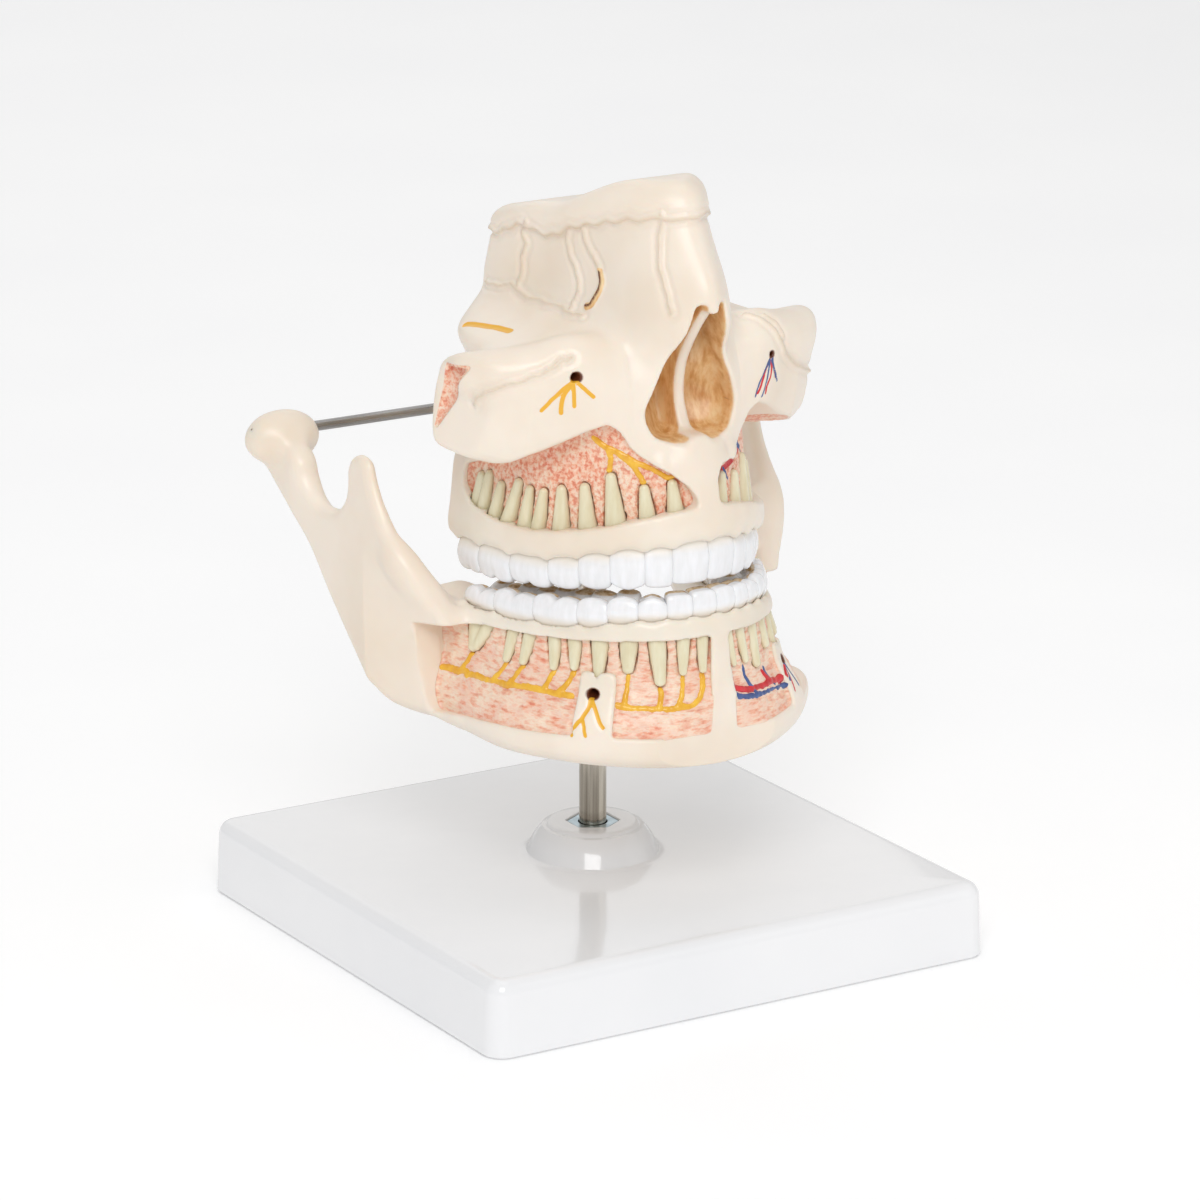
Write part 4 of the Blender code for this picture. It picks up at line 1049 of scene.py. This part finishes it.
def cords(name, bone, routes, radius, material, slot, *nodes, sink=0.25):
    """Branching cords laid on a bone's surface. A route is a list of points, thinner toward its end."""
    tree = BVHTree.FromObject(bone, bpy.context.evaluated_depsgraph_get())
    runs = []
    for points, start_r, end_r in routes:
        line = through(points, 4)
        laid = []
        for t, point in zip(np.linspace(0.0, 1.0, len(line)), line):
            r = radius * (start_r + t * (end_r - start_r))
            hit, normal, _, _ = tree.find_nearest(Vector(point) * MM)
            laid.append((np.array(hit) / MM + np.array(normal) * (r - sink), r))
        runs.append(laid)
    places = np.array([point for run in runs for point, _ in run])
    clay = Clay(places.min(axis=0) - 2.5, places.max(axis=0) + 2.5, CORD_VOXEL)
    for run in runs:
        for (a, ra), (b, rb) in zip(run, run[1:]):
            clay.work(lambda p: bar(p.q, a, b, ra, rb), 0.35, low=np.minimum(a, b) - 2.0,
                      high=np.maximum(a, b) + 2.0)
    piece = clay.mesh(name)
    body = "lower_jaw" if bone.name.startswith("mandible") else "upper_jaw"
    return finish_piece(piece, material, body, slot, *nodes)


def on_floor(arch, floor, *points):
    """Points (s, z) of a route, put just above a window's floor."""
    return [tuple(arch.place(s, floor(s, z) + 0.3, z)) for s, z in points]


def on_jaw(radius, *points, sink=0.0):
    """A painted route on the lower jaw, from points (s, z) and how far the surface lies inside jaw_outer."""
    s, z = np.array(points, float).T
    return (radius, *LOWER.place(s, jaw_outer(s, z) - sink, z))


LOWER_LINES = {
    "yellow": (
        on_jaw(0.5, (-23.1, 68), (-23.5, 66.1), (-24.2, 63.7), (-25.1, 62.4), (-25.8, 60), sink=0.6),
        on_jaw(0.4, (-24.2, 63.7), (-23.9, 61.9), (-23.3, 60.2), sink=0.6),
        on_jaw(0.45, (-23.2, 67.4), (-22, 64.7), (-20.7, 62), sink=0.6),
    ),
    "red": (
        on_jaw(0.8, (26.8, 66.6), (34, 67), (43, 66.8), (52, 66.4), (60, 65.8), sink=1.5),
        on_jaw(0.35, (28.4, 66.8), (28, 72.2), sink=1.5),
        on_jaw(0.35, (33.2, 67), (32.4, 71.6), sink=1.5),
        on_jaw(0.35, (41.6, 67), (40.4, 71.4), sink=1.5),
        on_jaw(0.35, (56.4, 66.4), (55.6, 70.8), sink=1.5),
        on_jaw(0.4, (23, 68), (22.4, 66), (21.2, 62.4), sink=0.4),
    ),
    "blue": (
        on_jaw(0.8, (26.8, 65), (34, 65.3), (43, 65.1), (52, 64.7), (60, 64.2), sink=1.5),
        on_jaw(0.35, (29.6, 65.2), (28.8, 72.2), sink=1.5),
        on_jaw(0.35, (34.4, 65.4), (33.2, 71.6), sink=1.5),
        on_jaw(0.35, (46, 65.4), (45, 71), sink=1.5),
        on_jaw(0.35, (54.8, 65), (54.4, 71.2), sink=1.5),
        on_jaw(0.4, (23.3, 68), (23.8, 66), (24.6, 62.4), sink=0.4),
    ),
}


def make_cords(maxilla, mandible, nerve, artery, vein):
    """The moulded nerves and vessels, as stems and branches in the windows."""
    def low(*points):
        return on_floor(LOWER, lower_floor, *points)

    def up(*points):
        return on_floor(UPPER, upper_floor, *points)

    cords("nerve_lower_right_sculpt", mandible, (
        (low((-64, 66.1), (-58.6, 66.5), (-54.7, 66.5), (-47.7, 67), (-42.8, 67.3), (-37.8, 67.7),
             (-33.9, 67.8), (-30.8, 67.6), (-27.4, 67.4)), 1, 0.9),
        (low((-58.6, 66.6), (-57.1, 68.8), (-56, 71.2)), 0.75, 0.6),
        (low((-47.7, 67.1), (-45.9, 69.4), (-44.8, 71.7)), 0.75, 0.6),
        (low((-42.8, 67.4), (-41.2, 69.9), (-40.2, 72)), 0.75, 0.6),
        (low((-33.9, 67.9), (-33.1, 70), (-32.4, 72.4)), 0.75, 0.6),
        (low((-30.9, 67.8), (-29.3, 69.4), (-28.5, 70.9), (-27.8, 73)), 0.75, 0.6),
    ), 0.95, nerve, "nerve", "nerve_lower_right")
    cords("nerve_lower_front_sculpt", mandible, (
        (low((-18.9, 66.6), (-16.2, 66.3), (-11.7, 66), (-7.6, 66), (-5.2, 66.9), (-4, 69.1), (-3.7, 72.8)),
         1.0, 0.8),
        (low((-17.7, 66.7), (-17.4, 68.7), (-17.3, 73.2)), 0.75, 0.6),
        (low((-11.8, 66.1), (-11.4, 68.2), (-11.5, 70.7)), 0.75, 0.6),
        (low((-8.6, 66.2), (-7.8, 68.4), (-7.4, 72.8)), 0.75, 0.6),
    ), 0.9, nerve, "nerve", "nerve_lower_front")
    cords("nerve_upper_right_sculpt", maxilla, (
        (up((-24.8, 123), (-21.4, 121), (-18.1, 119.8), (-14.4, 118), (-10.7, 116.4), (-7.2, 114.2)),
         1.0, 0.7),
        (up((-21.4, 121), (-20.8, 118.9), (-20.8, 115.2)), 0.8, 0.7),
        (up((-19.2, 120.2), (-16, 117.6), (-14.4, 115.5), (-13.4, 113)), 0.8, 0.7),
        (up((-30.2, 119.4), (-28.8, 117), (-27.5, 114.5), (-26.8, 112.6)), 0.85, 0.7),
        (up((-52.4, 112.2), (-49.8, 112.9), (-46.2, 113.9), (-43.2, 113.5), (-39.6, 113.6), (-36.3, 114.4),
            (-33.9, 113.4), (-32.7, 111.4)), 0.8, 0.7),
        (up((-43, 113.4), (-44.2, 112), (-44.8, 110.8)), 0.6, 0.5),
        (up((-41.2, 113.5), (-41.1, 110)), 0.6, 0.5),
        (up((-36.9, 114.2), (-37.2, 110.2)), 0.6, 0.5), (up((-49.8, 112.9), (-50.0, 109.6)), 0.6, 0.5),
    ), 0.85, nerve, "nerve", "nerve_upper_right")
    red = ((2.1, 72.8), (2.5, 69.8), (3.4, 68.0), (7.5, 67.0), (14.4, 66.6), (20.6, 65.6))
    blue = ((1.7, 72.8), (2.2, 68.8), (3.6, 66.4), (7.0, 65.5), (12.3, 65.2), (20.0, 64.2), (22.6, 66.6),
            (23.6, 69.4))
    cords("artery_lower_left_sculpt", mandible, (
        (low(*red), 0.55, 1.0), (low((12.6, 69.4), (13.2, 68.0), (14.4, 66.8)), 0.45, 0.45),
        (low((22.6, 69.2), (21.9, 67.6), (20.2, 66)), 0.5, 0.5),
    ), 1.1, artery, "artery", "artery_lower_left")
    cords("vein_lower_left_sculpt", mandible, (
        (low(*blue), 0.8, 0.6), (low((6.7, 72.0), (6.8, 69.5), (7.8, 67.2), (8.6, 65.8)), 0.5, 0.6),
        (low((13.7, 69.9), (13.9, 68.1), (15.6, 65.8)), 0.5, 0.6),
    ), 1.1, vein, "vein", "vein_lower_left", sink=0.1)


# ---------------------------------------------------------------- stand

BASE_HALF = (64.0, 65.5)       # half width and half depth at the bottom
BASE_TOP, BASE_WALL, BASE_ROUND, BASE_DRAFT, BASE_CORNER = 17.1, 2.6, 3.6, 0.6, 5.0
BOSS_TOP, BOSS_R, BOSS_FOOT_R, COLUMN_R = 24.15, 10.66, 14.83, 9.0
RECESS_FLATS, RECESS_FLOOR, HOLE_R, WASHER_HOLE_R, WASHER_TOP = 10.6, 20.55, 3.4, 8.3, 9.5


def base_outline(inset):
    """Rounded rectangle, as an n by 2 array, lying inset millimetres inside the foot of the base."""
    r = max(BASE_CORNER - inset, 0.5)
    points = []
    for quarter in range(4):
        turn = quarter * math.pi / 2
        wide, deep = BASE_HALF if quarter % 2 == 0 else BASE_HALF[::-1]
        wide, deep = wide - inset - r, deep - inset - r
        corner = [(wide + r * math.cos(a), deep + r * math.sin(a)) for a in np.linspace(0.0, math.pi / 2, 13)]
        side = [(wide + r, y) for y in np.linspace(-deep, deep, 30)[:-1]]
        for x, y in side + corner[:-1]:
            points.append((x * math.cos(turn) - y * math.sin(turn), x * math.sin(turn) + y * math.cos(turn)))
    return np.array(points)


def make_base(material):
    """Hollow moulded base: one closed skin of rings, from the outer wall over the boss and back inside."""
    foot = base_outline(0.0)
    angle = np.arctan2(foot[:, 1], foot[:, 0])
    ray = np.stack((np.cos(angle), np.sin(angle)), axis=1)
    hexagon = RECESS_FLATS / 2 / np.cos((angle + math.pi / 6) % (math.pi / 3) - math.pi / 6)
    rings = [(base_outline(0.4), 0.0), (foot, 0.4)]
    edge = BASE_TOP - BASE_ROUND
    for turn in np.linspace(0.0, math.pi / 2, 12):
        inset = BASE_DRAFT + BASE_ROUND * (1.0 - math.cos(turn))
        rings.append((base_outline(inset), edge + BASE_ROUND * math.sin(turn)))
    flat = base_outline(BASE_DRAFT + BASE_ROUND)
    rings += [(flat * (1.0 - t) + ray * 17.0 * t, BASE_TOP) for t in (0.3, 0.6, 0.85, 1.0)]
    fillet = ((0.7, 0.08), (0.25, 0.3), (0.0, 0.8))
    rings += [(ray * (BOSS_FOOT_R + out), BASE_TOP + up) for out, up in fillet]
    for t in np.linspace(0.15, 0.85, 6):
        rings.append((ray * (BOSS_FOOT_R + (BOSS_R - BOSS_FOOT_R) * t + 0.5 * math.sin(t * math.pi)),
                      BASE_TOP + 0.8 + (BOSS_TOP - BASE_TOP - 0.8) * t))
    rings += [(ray * (BOSS_R - cut), BOSS_TOP - drop) for cut, drop in (
        (0.0, 0.75), (0.25, 0.35), (0.6, 0.1), (1.1, 0.0), (2.8, 0.0))]
    rings += [(ray * (hexagon + 0.25)[:, None], BOSS_TOP), (ray * hexagon[:, None], BOSS_TOP - 0.25),
              (ray * hexagon[:, None], RECESS_FLOOR), (ray * HOLE_R, RECESS_FLOOR),
              (ray * HOLE_R, WASHER_TOP), (ray * WASHER_HOLE_R, WASHER_TOP),
              (ray * WASHER_HOLE_R, 0.0), (ray * COLUMN_R, 0.0), (ray * COLUMN_R, BASE_TOP - BASE_WALL)]
    inner = base_outline(BASE_DRAFT + BASE_WALL)
    rings += [(inner, BASE_TOP - BASE_WALL), (inner, 0.0)]
    count = len(foot)
    points = np.concatenate([np.column_stack((ring, np.full(count, z))) for ring, z in rings]) * MM
    faces = []
    for row in range(len(rings)):
        here, there = row * count, (row + 1) % len(rings) * count
        for i in range(count):
            j = (i + 1) % count
            faces.append((here + i, here + j, there + j, there + i))
    mesh = bpy.data.meshes.new("base_sculpt")
    mesh.from_pydata(points.tolist(), [], faces)
    mesh.shade_smooth()
    mesh.set_sharp_from_angle(angle=math.radians(35.0))
    piece = bpy.data.objects.new("base_sculpt", mesh)
    bpy.context.scene.collection.objects.link(piece)
    return finish_piece(piece, material, "stand", "base", "base_shell")


def finish_stand():
    """The stand's materials. Only the base gets a finer shape than its CAD one."""
    nickel = metal("nickel_steel", (0.72, 0.67, 0.58), (0.22, 0.19, 0.15), 0.16, (520.0, 520.0, 12.0))
    steel = metal("drawn_steel", (0.46, 0.45, 0.44), (0.24, 0.23, 0.22), 0.22, (60.0, 2600.0, 2600.0))
    zinc = metal("zinc_plate", (0.58, 0.68, 0.72), (0.34, 0.42, 0.46), 0.3, (500.0,) * 3)
    make_base(base_material())
    for name, material in (("stand_post", nickel), ("hinge_rod", steel), ("post_nut_top", zinc),
                           ("post_nut_bottom", zinc), ("post_washer", zinc)):
        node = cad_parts[name]
        node.data.materials.clear()
        node.data.materials.append(material)


# ---------------------------------------------------------------- floor, light and camera

def make_studio():
    scene = bpy.context.scene
    world = bpy.data.worlds.new("studio")
    scene.world = world
    world.use_nodes = True
    world.node_tree.nodes["Background"].inputs["Color"].default_value = (1.0, 1.0, 1.0, 1.0)
    world.node_tree.nodes["Background"].inputs["Strength"].default_value = 0.55
    scene.view_settings.view_transform = "Standard"
    bm = bmesh.new()
    bmesh.ops.create_grid(bm, x_segments=8, y_segments=8, size=6.0)
    mesh = bpy.data.meshes.new("floor")
    bm.to_mesh(mesh)
    bm.free()
    floor = bpy.data.objects.new("floor", mesh)
    floor.location = (0.0, 0.0, -0.0002)
    scene.collection.objects.link(floor)
    material, tree, shader = start("pale_floor", roughness=0.6)
    paper = grain(tree, (9.0,) * 3, 2.0).outputs["Fac"]
    tree.links.new(ramp(tree, paper, ((0.3, (0.93, 0.93, 0.935)), (0.7, (0.95, 0.95, 0.95)))),
                   shader.inputs["Base Color"])
    shader.inputs["Emission Color"].default_value = (1.0, 1.0, 1.0, 1.0)
    shader.inputs["Emission Strength"].default_value = 0.13
    mesh.materials.append(material)
    for name, spot_at, power, size in (
        ("key", (-0.7, -1.15, 1.15), 11.0, 0.8),
        ("fill", (1.2, -0.8, 0.7), 1.6, 1.2),
        ("top", (0.1, 0.2, 1.6), 3.5, 1.4),
        ("back", (0.4, 1.3, 0.9), 2.0, 1.2),
    ):
        light = bpy.data.lights.new(name, "AREA")
        light.energy, light.size = power, size
        obj = bpy.data.objects.new(name, light)
        obj.location = spot_at
        obj.rotation_euler = (Vector((0.0, 0.0, 0.09)) - Vector(spot_at)).to_track_quat("-Z", "Y").to_euler()
        scene.collection.objects.link(obj)


def make_camera():
    """Views the model from its right front, a little above it."""
    azimuth, elevation = math.radians(-31.186), math.radians(16.426)
    back = Vector((math.sin(azimuth) * math.cos(elevation), -math.cos(azimuth) * math.cos(elevation),
                   math.sin(elevation)))
    camera = bpy.data.cameras.new("camera")
    camera.lens, camera.sensor_width = 163.687, 36.0
    obj = bpy.data.objects.new("camera", camera)
    obj.location = (-0.60433, -1.00158, 0.42079)
    obj.rotation_euler = back.to_track_quat("Z", "Y").to_euler()
    bpy.context.scene.collection.objects.link(obj)
    bpy.context.scene.camera = obj


def main():
    make_camera()
    make_studio()
    finish_stand()
    upper_bone, lower_bone = bone_material("bone_upper", False), bone_material("bone_lower", True)
    enamel = tooth_material()
    nerve = enamel_paint("nerve_yellow", (0.78, 0.38, 0.02), (0.90, 0.52, 0.04))
    artery = enamel_paint("artery_red", (0.50, 0.01, 0.015), (0.72, 0.02, 0.03))
    vein = enamel_paint("vein_blue", (0.035, 0.07, 0.22), (0.07, 0.13, 0.34))
    mandible = make_mandible(lower_bone)
    maxilla = make_maxilla(upper_bone)
    make_teeth(UPPER, UPPER_TEETH, True, enamel, "upper_jaw")
    make_teeth(LOWER, LOWER_TEETH, False, enamel, "lower_jaw")
    bpy.context.view_layer.update()
    make_cords(maxilla, mandible, nerve, artery, vein)


main()
